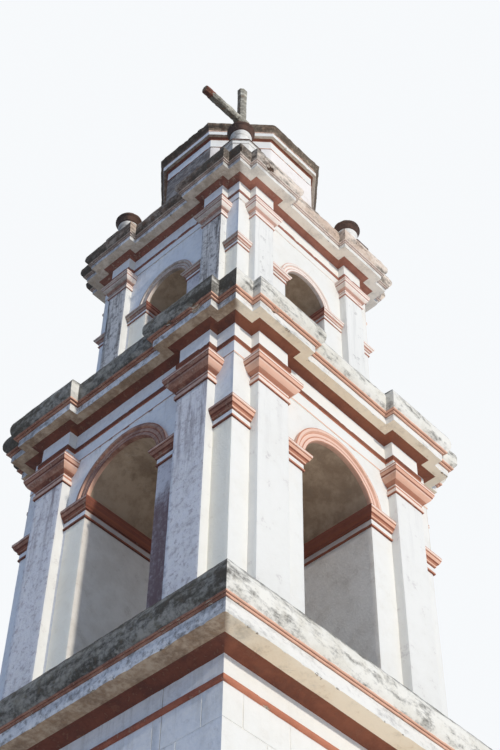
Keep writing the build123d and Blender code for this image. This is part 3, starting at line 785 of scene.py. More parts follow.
def all_round(surface, wear, kinds=0, arris=0.0, chip=0.0, grain=0.11, bare=60, along=True,
              **dirtied):
    """The same surface on the tower's four sides, each weathered in its own way.

    bare says how soon a chip shows the core.
    """
    grids = []
    for turns in range(4):
        points, _, lost = weathered(surface, turns, wear, arris, chip, grain)
        soil = dirt(points, **dirtied) if dirtied else 0.0
        grids.append(patch(points, kinds, along, not along, soil, lost * bare))
    return grids


for name, storey in STOREYS.items():
    grids = []
    for side in (-1, 1):
        back_left, *others = strip_corners(storey, side)
        surface, _ = upright(others + [back_left], storey.level, storey.capital_foot,
                             PILASTER_EASE, *PILASTER_STEPS)
        grids += all_round(surface, PILASTER_WEAR, ledges=[storey.capital_foot],
                           length=PILASTER_RUN_OFF[name], floor_level=storey.level,
                           splash=PILASTER_SPLASH)
    make_piece(f"{name}_pilaster_strips", grids, [PILASTER_FINISHES[name]],
               [f"{name}_pilasters"])


# Imposts. Moulded bands at the heads of the piers, run round each outer corner and,
# from pilaster to pilaster, through the reveals: a swelling band over painted stripes.
IMPOST_EASE, IMPOST_WEAR, IMPOST_CHIP = 0.004, ((0.003, 0.25),), 0.008
TRIM_STEP, TRIM_BARE = 0.03, 60
pale_line = limewash("pale_neck_limewash", "F8E4D4 F0D6C4 A07A66 CEBEAA 8E706A", flaking=0.2,
                     exposed=True)
line_brown = limewash("line_brown_limewash", "985C46 864C3A 4C2E26 BA9C86 462826", mottle=0.6,
                      run_off=0.2, damp_and_shade_share=0.92, exposed=True)
pale_peach = limewash("pale_peach_limewash", "F3CEB8 EABEA7 A07A68 D8C8B4 624440", damp_and_shade_share=0.92,
                      exposed=True)
cream_line = limewash("cream_line_limewash", "FCF2E6 F4E4D6 968476 DCCCBC 847A76", mottle=0.6,
                      run_off=0.5, mould=0.5, marbling=0.2, exposed=True)
rose_line = limewash("rose_line_limewash", "C68A76 B47662 68443C DCCAB8 60423E", run_off=0.2,
                     flaking=0.4, damp_and_shade_share=0.9, exposed=True)
faded_peach = limewash("faded_peach_limewash", "FBECDD F5DECD 8C7C6E EAE2D4 746860", mottle=0.8,
                       run_off=0.5, mould=0.5, flaking=0.4, damp_and_shade_share=0.88, marbling=0.3,
                       exposed=True)
rose_wash = limewash("rose_limewash", "E4B8A4 D4A08A 785448 ECDECE 6A524C", mottle=0.7, flaking=0.5,
                     damp_and_shade_share=0.9, exposed=True)
deep_peach = limewash("deep_peach_limewash", "CC9075 BC7C62 684438 CEB49C 54322E", mottle=0.6,
                      damp_and_shade_share=0.93, exposed=True)
# Darker copies of the trim finishes for their runs inside the arches: painted shade
shaded_arch_brown = limewash("arch_brown_limewash", "8A5444 764438 482E2A AA8670", mottle=0.6, mould=0.0,
                      flaking=0.2)
shaded_arch_stripe = limewash("arch_stripe_limewash", "CEC4BC BAB0AA 786A64 AA9686", mottle=0.6, mould=0.0,
                       flaking=0.2)
TRIM_FINISHES = {
    "lower": [white_wash, peach, pale_line, line_brown, pale_peach, shaded_arch_brown, shaded_arch_stripe,
              deep_peach],
    "upper": [white_wash, faded_peach, cream_line, rose_line, cream_line, shaded_arch_brown, shaded_arch_stripe,
              rose_wash]}
PLAIN, MAIN, PALE, LINE, SECOND, SHADED_ARCH_BROWN, SHADED_ARCH_STRIPE, DEEP = range(8)
# Each trim finish's painted-shade copy, for the runs inside the arches
SHADED_IN_ARCH = np.array([SHADED_ARCH_STRIPE, SHADED_ARCH_BROWN, SHADED_ARCH_BROWN, LINE, SHADED_ARCH_BROWN, SHADED_ARCH_BROWN,
                    SHADED_ARCH_STRIPE, LINE])
# Shares of the impost's projection and height; it closes inside the wall
IMPOST_STEPS = [
    (0.22, 0.00, LINE), (0.22, 0.10, DEEP), (0.10, 0.10, LINE),
    (0.10, 0.40, PLAIN), (0.10, 0.45, LINE), (0.34, 0.45, DEEP),
    # The swell's lower half is painted darker: a painted line, and painted shade under the swell
    (0.34, 0.54, MAIN), (0.85, 0.80, (DEEP, LINE, MAIN, MAIN), "swell"),
    (0.92, 0.83, LINE), (1.00, 0.87, MAIN), (1.00, 0.95, PALE),
    (1.00, 1.00, DEEP)]


def scaled(steps, reach, foot, height):
    """Steps in metres from steps in shares of a moulding's projection and height."""
    return [(out * reach, foot + up * height, *others) for out, up, *others in steps]


def strip_patch(plan_corners, moulded, turns, shaded):
    """An open length of moulding with a closed outline, as one grid with capped ends.

    The sides of the plan that are listed as shaded take darker copies of the finishes,
    the ones used in the arches, as painted shade.
    """
    outline, kinds, arris = moulded
    plan, offsets, marks = plan_line(plan_corners, TRIM_STEP)
    surface = carried(plan, offsets, outline)
    points, _, chip = weathered(surface, turns, IMPOST_WEAR, arris, IMPOST_CHIP)
    finish = np.where(np.isin(marks, shaded)[:-1, None], SHADED_IN_ARCH[kinds], kinds)
    return patch(points, finish, False, True, worn=chip * TRIM_BARE)


for name, storey in STOREYS.items():
    foot, top = storey.impost_foot, storey.impost_top
    w, opening = storey.half, storey.opening
    reach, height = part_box(f"{name}_imposts")[1].x - w, top - foot
    steps = scaled(IMPOST_STEPS, reach, foot, height)
    moulded = profile((-BACK_IN_WALL, foot), steps + [(-BACK_IN_WALL, top, MAIN)],
                      IMPOST_EASE, closed=True)
    inset = storey.inset
    past = inset + storey.width
    at_corner = [(-w, -w + inset), (-w, -w), (-w + inset, -w)]
    in_arches = [(-w + past, -w), (-opening, -w), (-opening, -opening), (-w, -opening),
                 (-w, -w + past)]
    grids = [strip_patch(corners, moulded, turns, shaded)
             for turns in range(4) for corners, shaded in ((at_corner, ()), (in_arches, (1, 2)))]
    make_piece(f"{name}_impost_bands", grids, TRIM_FINISHES[name],
               [f"{name}_imposts"])


# Arch walls. The wall over each opening, from diagonal to diagonal, so that its barrel
# vault meets the next one in a groin; rendered like the piers, and a darker brown underneath
# that is partly soiling and partly painted shade.
ARCH_SIDE_COLUMNS, ARCH_TOP_COLUMNS, ARCH_ROWS = 16, 88, 16
ARCH_WEAR = ((0.005, 0.8), (0.003, 0.14))
VAULT_SOIL, ARCH_DRIP, GROIN_FADE = 0.6, 0.3, 0.1


def arch_wall(name, storey, side, turns):
    """A wall with a round arch through it, as one closed grid round the arch.

    Column i belongs to the angle a(i) about the arch's centre. Its rows run from the
    arch's edge (r cos a, r sin a) over the front face to the wall's outline, back to
    the diagonal plane y = -|x|, down it to the groin, and along the barrel to the edge.
    """
    r, half, rise, spring = storey.opening, storey.half, storey.rise, storey.spring
    head = storey.wall_top - spring
    start, corner = np.arcsin(rise / r), np.arctan2(head, half)
    rising = np.linspace(start, corner, ARCH_SIDE_COLUMNS)
    over = np.linspace(corner, pi - corner, ARCH_TOP_COLUMNS)[1:-1]
    angle = np.concatenate([rising, over, pi - rising[::-1]])[::-1]
    side_height = np.linspace(rise, head, ARCH_SIDE_COLUMNS)
    jamb = np.full(ARCH_SIDE_COLUMNS, half)
    outer_x = np.concatenate([jamb, head / np.tan(over), -jamb])[::-1]
    outer_z = np.concatenate([side_height, np.full(len(over), head), side_height[::-1]])
    edge = np.stack([r * np.cos(angle), np.full(len(angle), -half), r * np.sin(angle)], -1)
    outer = np.stack([outer_x, np.full(len(angle), -half), outer_z], -1)
    behind = np.stack([outer_x, -np.abs(outer_x), outer_z], -1)
    groin = np.stack([edge[:, 0], -np.abs(edge[:, 0]), edge[:, 2]], -1)
    share = np.linspace(0, 1, ARCH_ROWS)[None, :, None]
    face = edge[:, None] + share * (outer - edge)[:, None]
    barrel = (groin[:, None] + share * (edge - groin)[:, None])[:, :-1]
    points = np.concatenate([face, behind[:, None], barrel], 1) + np.array([0, 0, spring])
    push = np.zeros(points.shape)
    push[:, :ARCH_ROWS] = (0, -1, 0)
    push[:, ARCH_ROWS + 1:] = -np.stack([np.cos(angle), 0 * angle, np.sin(angle)], -1)[:, None]
    off_groin = np.clip((np.abs(points[..., 1]) - np.abs(points[..., 0])) / GROIN_FADE, 0, 1)
    off_groin[:, :ARCH_ROWS] = 1
    points, _, _ = weathered((points, push * off_groin[..., None]), turns, ARCH_WEAR)
    finish = np.full(points.shape[1], WHITE)
    finish[ARCH_ROWS + 1:] = VAULT
    soil = dirt(points, [storey.wall_top], ARCH_DRIP)
    soil[:, ARCH_ROWS + 1:] = VAULT_SOIL
    grid = patch(points, finish[None, :], False, True, soil)
    make_piece(f"{name}_arch_wall_{side}", [grid], WALL_FINISHES,
               [f"{name}_arch_{side}"])


for name, storey in STOREYS.items():
    for side, turns in SIDES.items():
        arch_wall(name, storey, side, turns)


# Archivolts. Moulded rings of render round the arches, standing on the imposts: a flat
# inner fascia, a second one past a scored line, and a raised outer band.
ARCHIVOLT_COLUMNS, ARCHIVOLT_EASE, ARCHIVOLT_CHIP = 96, 0.003, 0.008
# From the arch's edge outwards: shares of the projection and of the width
ARCHIVOLT_STEPS = [
    (0.50, 0.00, MAIN), (0.60, 0.05, DEEP), (0.60, 0.26, SECOND), (0.50, 0.27, DEEP),
    (0.50, 0.34, DEEP), (0.60, 0.35, MAIN), (0.60, 0.58, SECOND), (0.56, 0.64, DEEP),
    (1.00, 0.72, MAIN), (1.00, 0.91, SECOND), (0.86, 1.00, DEEP)]

for name, storey in STOREYS.items():
    ring_low, ring_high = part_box(f"{name}_archivolts")
    r, rise, spring = storey.opening, storey.rise, storey.spring
    width = ring_high.z - spring - r
    proud = -ring_low.y - storey.half
    steps = [(out * proud, r + across * width, kind)
             for out, across, kind in ARCHIVOLT_STEPS]
    steps.append((-BACK_IN_WALL, r + width, SECOND))
    outline, kinds, arris = profile((-BACK_IN_WALL, r), steps, ARCHIVOLT_EASE, closed=True)
    radius = outline[:, 1]
    foot_angle = np.arcsin(rise / radius)
    share = np.linspace(0, 1, ARCHIVOLT_COLUMNS)[:, None]
    angle = pi - foot_angle - share * (pi - 2 * foot_angle)
    depth = np.broadcast_to(-storey.half - outline[:, 0], angle.shape)
    bent = np.stack([radius * np.cos(angle), depth, spring + radius * np.sin(angle)], -1)
    forward = np.broadcast_to(np.array([0.0, -1.0, 0.0]), bent.shape)
    grids = all_round((bent, forward), TRIM_WEAR, kinds[None, :], arris, ARCHIVOLT_CHIP,
                      along=False)
    make_piece(f"{name}_arch_rings", grids, TRIM_FINISHES[name],
               [f"{name}_archivolts"])


# Capitals. Solid blocks at the heads of the pilasters, moulded on three sides: a beaded
# astragal, a plain neck, a swelling bell, a leaning band and a square abacus, with
# fine painted lines between them.
CAPITAL_EASE, CAPITAL_CHIP, CAPITAL_CHIP_GRAIN = 0.004, 0.012, 0.08
# Shares of the capital's projection and height
CAPITAL_STEPS = [
    (0.13, 0.000, LINE), (0.16, 0.030, DEEP), (0.16, 0.175, PALE),
    (0.13, 0.200, PALE), (0.03, 0.200, DEEP), (0.03, 0.330, DEEP),
    (0.03, 0.400, PALE), (0.03, 0.420, LINE),
    # The bell's lower part is painted darker and its top lighter: painted shade under the swell and
    # a painted highlight on it
    (0.80, 0.700, (DEEP, DEEP, MAIN, MAIN, MAIN, SECOND), "swell"),
    (0.86, 0.755, LINE), (0.97, 0.850, MAIN), (1.00, 0.890, DEEP),
    (1.00, 0.960, PALE), (1.00, 1.000, DEEP)]

for name, storey in STOREYS.items():
    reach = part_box(f"{name}_capitals")[1].x - storey.outer
    foot = storey.capital_foot
    steps = scaled(CAPITAL_STEPS, reach, foot, storey.wall_top - foot)
    outline, kinds, arris = profile((0.0, foot), steps, CAPITAL_EASE)
    grids = []
    for side in (-1, 1):
        plan, offsets, _ = plan_line(strip_corners(storey, side), TRIM_STEP)
        grids += all_round(carried(plan, offsets, outline), TRIM_WEAR, kinds[None, :-1], arris,
                           CAPITAL_CHIP, CAPITAL_CHIP_GRAIN)
    make_piece(f"{name}_capital_blocks", grids, TRIM_FINISHES[name],
               [f"{name}_capitals"])


# Entablatures. A plain architrave, a painted taenia, a white frieze and a cornice like
# the base one, run in render and broken forward over every pilaster. One mitred length
# a side; the near corner of the lower one has lost pieces of its crown.
ENTABLATURES = {
    "lower": Namespace(architrave=(0.230, 0.012), taenia=(0.080, 0.032), frieze=0.300, depth=0.700,
                       cove=(0.062, 0.128), soffit=0.140, corona=0.125, fillet=(0.030, 0.032),
                       crown=(0.350, 0.053), soiled=(1.3, 0.18), lumpy=0.010),
    "upper": Namespace(architrave=(0.160, 0.009), taenia=(0.060, 0.024), frieze=0.265, depth=0.520,
                       cove=(0.045, 0.112), soffit=0.148, corona=0.088, fillet=(0.017, 0.025),
                       crown=(0.271, 0.045), soiled=(1.4, 1.0), lumpy=0.016)}
ENTABLATURE_EASE = 0.006
ARCHITRAVE_LINE = 0.022  # a fine painted line at the foot of the architrave
faded_cove = limewash("faded_cove_limewash", "B07864 966050 543830 CEB098 68423A", mottle=0.8,
                      run_off=0.5, flaking=0.4, marbling=0.2)
pale_soffit = limewash("pale_soffit_limewash", "FAF0E0 F0E0CE 968472 CEB69C A08E7C", mottle=0.6,
                       run_off=0.4, mould=0.2, damp_and_shade_share=0.8, marbling=0.3)
ragged_crown = limewash("ragged_crown", "F6E6D4 D6BCA6 54443A 685042 322C2B", mottle=0.95,
                        run_off=0.8, mould=0.8, flaking=0.8, sand=2.8, damp_and_shade_share=0.95, marbling=0.9,
                        exposed=True)
ENTABLATURE_FINISHES = {
    "lower": CORNICE_FINISHES,
    "upper": [white_wash, faded_cove, pale_soffit, faded_peach, ragged_crown, rose_line,
              corona_white]}
# Broken places: side, then place and radius
BROKEN = {
    ("lower", "front"): [(-1.67, -2.42, 17.12, 0.06), (-1.35, -2.50, 17.13, 0.05),
                         (2.40, -2.40, 17.47, 0.10), (2.43, -2.43, 17.2, 0.05),
                         (1.68, -2.54, 17.5, 0.07)],
    ("lower", "left"): [(-2.42, -1.67, 17.10, 0.08), (-2.50, -1.2, 17.13, 0.06),
                        (-2.40, 2.40, 17.47, 0.10), (-2.54, 1.68, 17.5, 0.07)],
    ("upper", "front"): [(-1.9, -1.9, 21.50, 0.07), (-1.28, -1.98, 21.48, 0.07),
                         (1.9, -1.9, 21.72, 0.08)],
    ("upper", "left"): [(-1.9, -1.9, 21.72, 0.07), (-1.98, -0.9, 21.7, 0.06),
                        (-1.9, 1.9, 21.72, 0.09)]}

for name, storey in STOREYS.items():
    sizes = ENTABLATURES[name]
    level, (face_height, face), (band_height, band) = (
        storey.wall_top, sizes.architrave, sizes.taenia)
    frieze_foot = level + face_height + band_height
    steps, top = cornice_steps(frieze_foot + sizes.frieze, sizes)
    moulded = profile((-BACK_IN_WALL, level), [
        (face, level, WHITE), (face, level + ARCHITRAVE_LINE, PEACH),
        (face, level + face_height, WHITE), (band, level + face_height, TERRACOTTA),
        (band, frieze_foot, COVE_RED), (0.0, frieze_foot, TERRACOTTA),
        (0.0, frieze_foot + sizes.frieze, WHITE)] + steps, ENTABLATURE_EASE, OUTLINE_STEP)
    w, outer, near, far = storey.half, storey.outer, storey.near, storey.far
    plan_corners = [(-w, -w)]
    for x0, x1 in ((-far, -near), (near, far)):
        plan_corners += [(x0, -w), (x0, -outer), (x1, -outer), (x1, -w)]
    plan_corners.append((w, -w))
    for side, turns in SIDES.items():
        cornice_length(f"{name}_cornice_{side}", f"{name}_entablature_{side}", turns,
                       plan_corners, ((-w, 0), (w, 0)), moulded, w - sizes.depth,
                       [top, level], ENTABLATURE_FINISHES[name], sizes,
                       BROKEN.get((name, side), ()))


# Finials. An eight-sided plinth with bands under its top carries a turned urn of
# rendered brick, grooved near its neck, under a heavy cap blackened by the weather.
PLINTH_WIDTH, PLINTH_BAND, PLINTH_BAND_PROUD, PLINTH_EASE = 0.640, 0.039, 0.024, 0.005
URN_FOOT, URN_NECK, URN_LIP, URN_CAP = 0.188, 0.168, 0.215, 0.238
URN_NECK_AT, URN_GROOVES, URN_BLACK_ABOVE = 0.65, (0.67, 0.86), 0.84
URN_GROOVE_DEPTH, URN_GROOVE_WIDTH = 0.012, 0.011
URN_CAP_HEIGHT, URN_COLUMNS, URN_EASE = 0.130, 56, 0.006
PLINTH_UP_STEP, PLINTH_STEP, URN_ROWS, URN_STEP = 0.06, 0.05, 60, 0.02
PLINTH_WEAR, PLINTH_CHIP, PLINTH_BARE, PLINTH_DRIP = ((0.006, 0.2),), 0.014, 50, 0.25
URN_WEAR, URN_CHIP, URN_CHIP_GRAIN, URN_BARE, URN_DRIP = ((0.006, 0.12),), 0.016, 0.08, 40, 0.3
# Shares of the cap's radius and height
URN_CAP_STEPS = [(0.90, 0.10), (1.0, 0.34), (1.0, 0.62), (0.93, 0.80), (0.72, 0.90), (0.35, 1.0)]

finial_wash = limewash("finial_limewash", "F9F5EC EFE8DC 787066 A08C74 706B68", run_off=0.35,
                       mould=0.4, flaking=0.25, damp_and_shade_share=0.7, marbling=0.1, exposed=True)
black_cap = limewash("blackened_render", "684E42 3E322D 262422 96806C 302A2A", mottle=0.9,
                     run_off=0.6, mould=0.8, flaking=0.4, sand=2.0, damp_and_shade_share=0.9, exposed=True)
plinth_low, plinth_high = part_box("finial_plinths")
urn_low, urn_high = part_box("finial_urns")
finial_at = plinth_high.x - PLINTH_WIDTH / 2 - PLINTH_BAND_PROUD
finial_centre = (-finial_at, -finial_at)
cap_foot = urn_high.z - URN_CAP_HEIGHT
body = cap_foot - urn_low.z


def octagon(half, centre=(0.0, 0.0)):
    """Corners of an octagon with a side towards each face of the tower."""
    radius = half / cos(pi / 8)
    return [(centre[0] + radius * cos(pi / 8 + k * pi / 4),
             centre[1] + radius * sin(pi / 8 + k * pi / 4)) for k in range(8)]


def turned_surface(centre, outline, columns):
    """A turned piece: its outline's radius and height at equal angles round its centre."""
    angle = np.arange(columns) * 2 * pi / columns
    plan = np.broadcast_to(np.array(centre, float), (columns, 2))
    return carried(plan, np.stack([np.cos(angle), np.sin(angle)], -1), outline)


def urn_radius(up):
    """Radius of the urn's body: it narrows to the neck, then flares, with two grooves.

    Up to the neck it is linear, above it grows with the power 1.3 of the height, and
    each groove takes away d exp(-((up - at) / w)^2).
    """
    share = up / body
    below = URN_FOOT + (URN_NECK - URN_FOOT) * share / URN_NECK_AT
    above = np.clip((share - URN_NECK_AT) / (1 - URN_NECK_AT), 0, 1)
    flared = URN_NECK + (URN_LIP - URN_NECK) * above ** 1.3
    grooves = sum(URN_GROOVE_DEPTH * np.exp(-((up - at * body) / URN_GROOVE_WIDTH) ** 2)
                  for at in URN_GROOVES)
    return np.where(share < URN_NECK_AT, np.minimum(below, URN_FOOT), flared) - grooves


def through(points, kinds):
    """The start and the straight steps of an outline through points, in their finishes."""
    return points[0], [(*point, kind) for point, kind in zip(points[1:], kinds)]


bands = [(0.0, plinth_high.z - 3 * PLINTH_BAND, 0)]
for share, up in ((0.6, 2), (0.3, 1), (1.0, 0)):
    proud = share * PLINTH_BAND_PROUD
    bands += [(proud, plinth_high.z - (up + 1) * PLINTH_BAND, 0),
              (proud, plinth_high.z - up * PLINTH_BAND, 1 if up == 0 else 0)]
outline, kinds, arris = profile((0.0, plinth_low.z), bands, PLINTH_EASE, PLINTH_UP_STEP)
surface = ring(octagon(PLINTH_WIDTH / 2, finial_centre), PLINTH_STEP, outline)
grids = all_round(surface, PLINTH_WEAR, kinds[None, :-1], arris, PLINTH_CHIP,
                  bare=PLINTH_BARE, ledges=[plinth_high.z], length=PLINTH_DRIP)
make_piece("finial_plinth_blocks", grids, [finial_wash, black_cap],
           ["finial_plinths"])

levels = np.linspace(0, body, URN_ROWS)
urn_points = [(radius, urn_low.z + up) for radius, up in zip(urn_radius(levels), levels)]
urn_points += [(out * URN_CAP, cap_foot + up * URN_CAP_HEIGHT) for out, up in URN_CAP_STEPS]
urn_kinds = [int(up > URN_BLACK_ABOVE * body) for up in levels] + [1] * len(URN_CAP_STEPS)
outline, kinds, arris = profile(*through(urn_points, urn_kinds), URN_EASE, URN_STEP)
surface = turned_surface(finial_centre, outline, URN_COLUMNS)
grids = all_round(surface, URN_WEAR, kinds[None, :-1], arris, URN_CHIP,
                  URN_CHIP_GRAIN, URN_BARE, ledges=[cap_foot], length=URN_DRIP)
make_piece("finial_urn_bodies", grids, [finial_wash, black_cap],
           ["finial_urns"], 40)


# Drum. An eight-sided wall on the slab over the upper belfry, limewashed like the piers,
# with a thin band, a frieze and a cornice whose upper mouldings have weathered dark; their
# darker tone on the sides away from the sun and under the soffit is partly painted shade.
DRUM_WALL, DRUM_EASE, DRUM_STEP, DRUM_ROWS = 0.350, 0.012, 0.08, 20
DRUM_WEAR = ((0.006, 0.7), (0.003, 0.12))
BAND_HEIGHT, BAND_PROUD, FRIEZE_HEIGHT = 0.020, 0.010, 0.215
BED_HEIGHT, BED_PROUD, DRUM_SOFFIT = 0.050, 0.035, 0.055
CORONA_HEIGHT, CORONA_LIP, CORONA_LIP_PROUD = 0.120, 0.03, 0.006
CYMA_HEIGHT, CYMA_PROUD = 0.160, 0.071
DRUM_CROWN_EASE, DRUM_CROWN_STEP, DRUM_CROWN_CHIP, DRUM_CROWN_BARE = 0.008, 0.035, 0.034, 35
DRUM_LUMPS, DRUM_LUMP_GRAIN = 0.014, 0.06
DRUM_DRIP, DRUM_CROWN_DRIP = 0.5, 0.3
DRUM_CROWN_WEAR = ((0.006, 0.4), (0.004, 0.08))
DRUM_WHITE, DRUM_RED, DRUM_PEACH, DRUM_BROWN, DRUM_BROKEN = range(5)

drum_wash = limewash("drum_limewash", "FAF2EA F0E4DA 7C706C BAA892 423F42", run_off=0.4, mould=0.35,
                     flaking=0.2, damp_and_shade_share=0.97, exposed=True)
brown_stone = limewash("weathered_brown_render", "E8D8C4 CEB49A 685242 96765E 48362F", mottle=0.9,
                       run_off=0.7, mould=0.5, flaking=0.5, sand=1.8, damp_and_shade_share=0.92, exposed=True)
broken_crown = limewash("broken_crown_render", "DCC2A6 967860 3C2E27 5C4436 322926", mottle=1.0,
                        run_off=0.9, mould=0.8, flaking=0.9, sand=3.0, damp_and_shade_share=0.94, marbling=0.85,
                        exposed=True)
drum_low, drum_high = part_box("drum_wall")
drum_corners = octagon(drum_high.x)
eased_corners, _, _ = eased([np.array(c) for c in drum_corners], [0] * 8, DRUM_EASE)
outline = np.concatenate([straight_up(np.linspace(drum_low.z, drum_high.z, DRUM_ROWS)),
                          [[-DRUM_WALL, drum_high.z], [-DRUM_WALL, drum_low.z]]])
points, _, _ = weathered(ring(eased_corners, DRUM_STEP, outline), 0, DRUM_WEAR)
grid = patch(points, up=True, soil=dirt(points, [drum_high.z], DRUM_DRIP))
make_piece("drum_wall_render", [grid], [drum_wash], ["drum_wall"])

band_top = drum_high.z + BAND_HEIGHT
frieze_top = band_top + FRIEZE_HEIGHT
bed_top = frieze_top + BED_HEIGHT
corona_top = bed_top + CORONA_HEIGHT
crown_top = corona_top + CYMA_HEIGHT
reach = BED_PROUD + DRUM_SOFFIT
outline, kinds, arris = profile((-DRUM_WALL, drum_high.z), [
    (BAND_PROUD, drum_high.z, DRUM_RED), (BAND_PROUD, band_top, DRUM_PEACH),
    (0.0, band_top, DRUM_RED), (0.0, frieze_top, DRUM_WHITE),
    (BED_PROUD, bed_top, DRUM_RED, "cove"), (reach, bed_top, DRUM_BROWN),
    (reach, corona_top - CORONA_LIP, DRUM_WHITE),
    (reach + CORONA_LIP_PROUD, corona_top - CORONA_LIP, DRUM_RED),
    (reach + CORONA_LIP_PROUD, corona_top, DRUM_PEACH),
    (reach + CYMA_PROUD, crown_top, DRUM_BROKEN, "cyma"),
    (-DRUM_WALL, crown_top, DRUM_BROKEN)], DRUM_CROWN_EASE, OUTLINE_STEP, closed=True)
surface = ring(drum_corners, DRUM_CROWN_STEP, outline)
ragged = (kinds == DRUM_BROKEN) * 1.0
lumps = (0.5 + 0.5 * rough(surface[0], DRUM_LUMP_GRAIN)) * ragged * DRUM_LUMPS
points, push, chip = weathered(surface, 0, DRUM_CROWN_WEAR, arris * (1 + ragged), DRUM_CROWN_CHIP)
points = points - push * lumps[..., None]
grid = patch(points, kinds[None, :], up=True, worn=chip * DRUM_CROWN_BARE,
             soil=dirt(points, [crown_top], DRUM_CROWN_DRIP))
make_piece("drum_crown", [grid], [white_wash, cove_red, pale_peach, brown_stone, broken_crown],
           ["drum_cornice"])


# Dome. A low eight-sided shell of brick, rendered and left grey, with raised ribs only
# where its faces meet, and a flat crown under the pedestal.
CROWN_HALF, DOME_STEP, DOME_SOIL = 0.280, 0.06, 0.5
DOME_WEAR = ((0.012, 0.5), (0.005, 0.12))
dome_grey = limewash("dome_render_grey", "9E988C 7E786C 403E38 96826A", mottle=0.9, run_off=0.7,
                     mould=1.0, sand=1.6, exposed=True)
dome_low, dome_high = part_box("dome")
outline, kinds = moulding((0.0, dome_low.z), [(CROWN_HALF - dome_high.x, dome_high.z, 0, "dome")])
outline, _, _ = divided(np.array(outline), kinds + [0], np.zeros(len(outline)), OUTLINE_STEP)
points, _, _ = weathered(ring(octagon(dome_high.x), DOME_STEP, outline), 0, DOME_WEAR)
make_piece("dome_shell", [patch(points, soil=DOME_SOIL)], [dome_grey],
           ["dome"])


# Cross. A turned pedestal on the dome carries a cross of chamfered square bars in
# render over an iron core; the arm to the left has rotted back to rough brown mortar.
CROSS_BAR, CROSS_CHAMFER = 0.0925, 0.048
CROSS_FLARE, CROSS_FLARE_LENGTH = 0.022, 0.260
CROSS_ROUNDING, CROSS_OVERLAP, CROSS_KNOT = 0.03, 0.06, 0.060
CROSS_ARM_ABOVE, CROSS_SUNK, CROSS_SOIL = 1.041, 0.02, 0.7
CROSS_WEAR = ((0.010, 0.2), (0.006, 0.05))
ROTTED_ARM_WEAR, ARM_WEAR = ((0.020, 0.13), (0.010, 0.045)), ((0.012, 0.13), (0.006, 0.045))
STUMP_LENGTH, STUMP_RAGGED, STUMP_GRAIN = 0.20, 0.06, 0.06
LEAST_ROT, ROT_GROWTH, KNOT_SHAPE = 0.35, 0.9, (1, 0.98, 1.12)
PEDESTAL_HEIGHT, PEDESTAL_RADIUS, PEDESTAL_COLUMNS = 0.380, 0.250, 56
PEDESTAL_EASE, PEDESTAL_STEP, PEDESTAL_SOIL = 0.01, 0.02, 0.35
PEDESTAL_WEAR = ((0.010, 0.15),)
# Shares of the pedestal's radius and height, and the finish above each
PEDESTAL_STEPS = [
    (1.0, 0.0, 2), (1.0, 0.2, 2), (0.92, 0.26, 0), (0.80, 0.34, 0), (0.72, 0.48, 0),
    (0.68, 0.64, 0), (0.70, 0.78, 0), (0.78, 0.84, 2), (0.85, 0.90, 2), (0.85, 1.0, 2)]
cross_wash = limewash("cross_limewash", "F0E9D5 D4C6AA 605440 966C4E 5C4C3C", mottle=0.8,
                      run_off=0.75, mould=0.8, flaking=0.7, sand=2.4, marbling=0.75, exposed=True)
rotten = limewash("rotted_mortar", "845240 56382E 322622 B08264 3E2A25", mottle=0.9, run_off=0.5,
                  mould=0.5, flaking=0.6, sand=2.6, damp_and_shade_share=0.7, exposed=True)
cross_low, cross_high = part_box("cross")
pedestal_top = cross_low.z + PEDESTAL_HEIGHT
lift = np.array([0, 0, pedestal_top + CROSS_ARM_ABOVE])


def bar(start, end, axis, flared=(False, False), columns=90):
    """A bar of chamfered square section along one axis, rounded off and flared at its ends.

    The section is a loop of eight corners, each side cut in four. At a distance d from
    an end it shrinks to 0.7 + 0.3 sqrt(1 - (1 - d/e)^2) of itself within e, and near a
    flared end its width in the plane of the cross grows by f (1 - d/L)^2. Also returns
    the directions in which it may be worn back.
    """
    b, c = CROSS_BAR, CROSS_BAR - CROSS_CHAMFER
    loop = np.array([(b, -c), (b, c), (c, b), (-c, b), (-b, c), (-b, -c), (-c, -b), (c, -b)])
    share = (np.arange(4) / 4)[None, :, None]
    loop = (loop[:, None] + share * (np.roll(loop, -1, axis=0) - loop)[:, None]).reshape(-1, 2)
    place = np.linspace(start, end, columns)
    near_end = np.clip(np.minimum(place - start, end - place) / CROSS_ROUNDING, 0, 1)
    shrink = np.sqrt(np.clip(1 - (1 - near_end) ** 2, 0, 1)) * 0.3 + 0.7
    section = loop[:, None] * shrink[None, :, None]
    for is_flared, away in zip(flared, (place - start, end - place)):
        flare = CROSS_FLARE / CROSS_BAR * np.clip(1 - away / CROSS_FLARE_LENGTH, 0, 1) ** 2
        section = section * (1 + (flare * is_flared)[None, :, None] * np.array([1, 0]))
    length = np.broadcast_to(place[None, :, None], section.shape[:2] + (1,))
    if axis == "up":
        parts = [section, length]
        push = [section, 0 * length]
    else:
        section = np.stack([-section[..., 1], section[..., 0]], -1)
        parts = [length, section]
        push = [0 * length, section]
    return np.concatenate(parts, -1), np.concatenate(push, -1) / CROSS_BAR


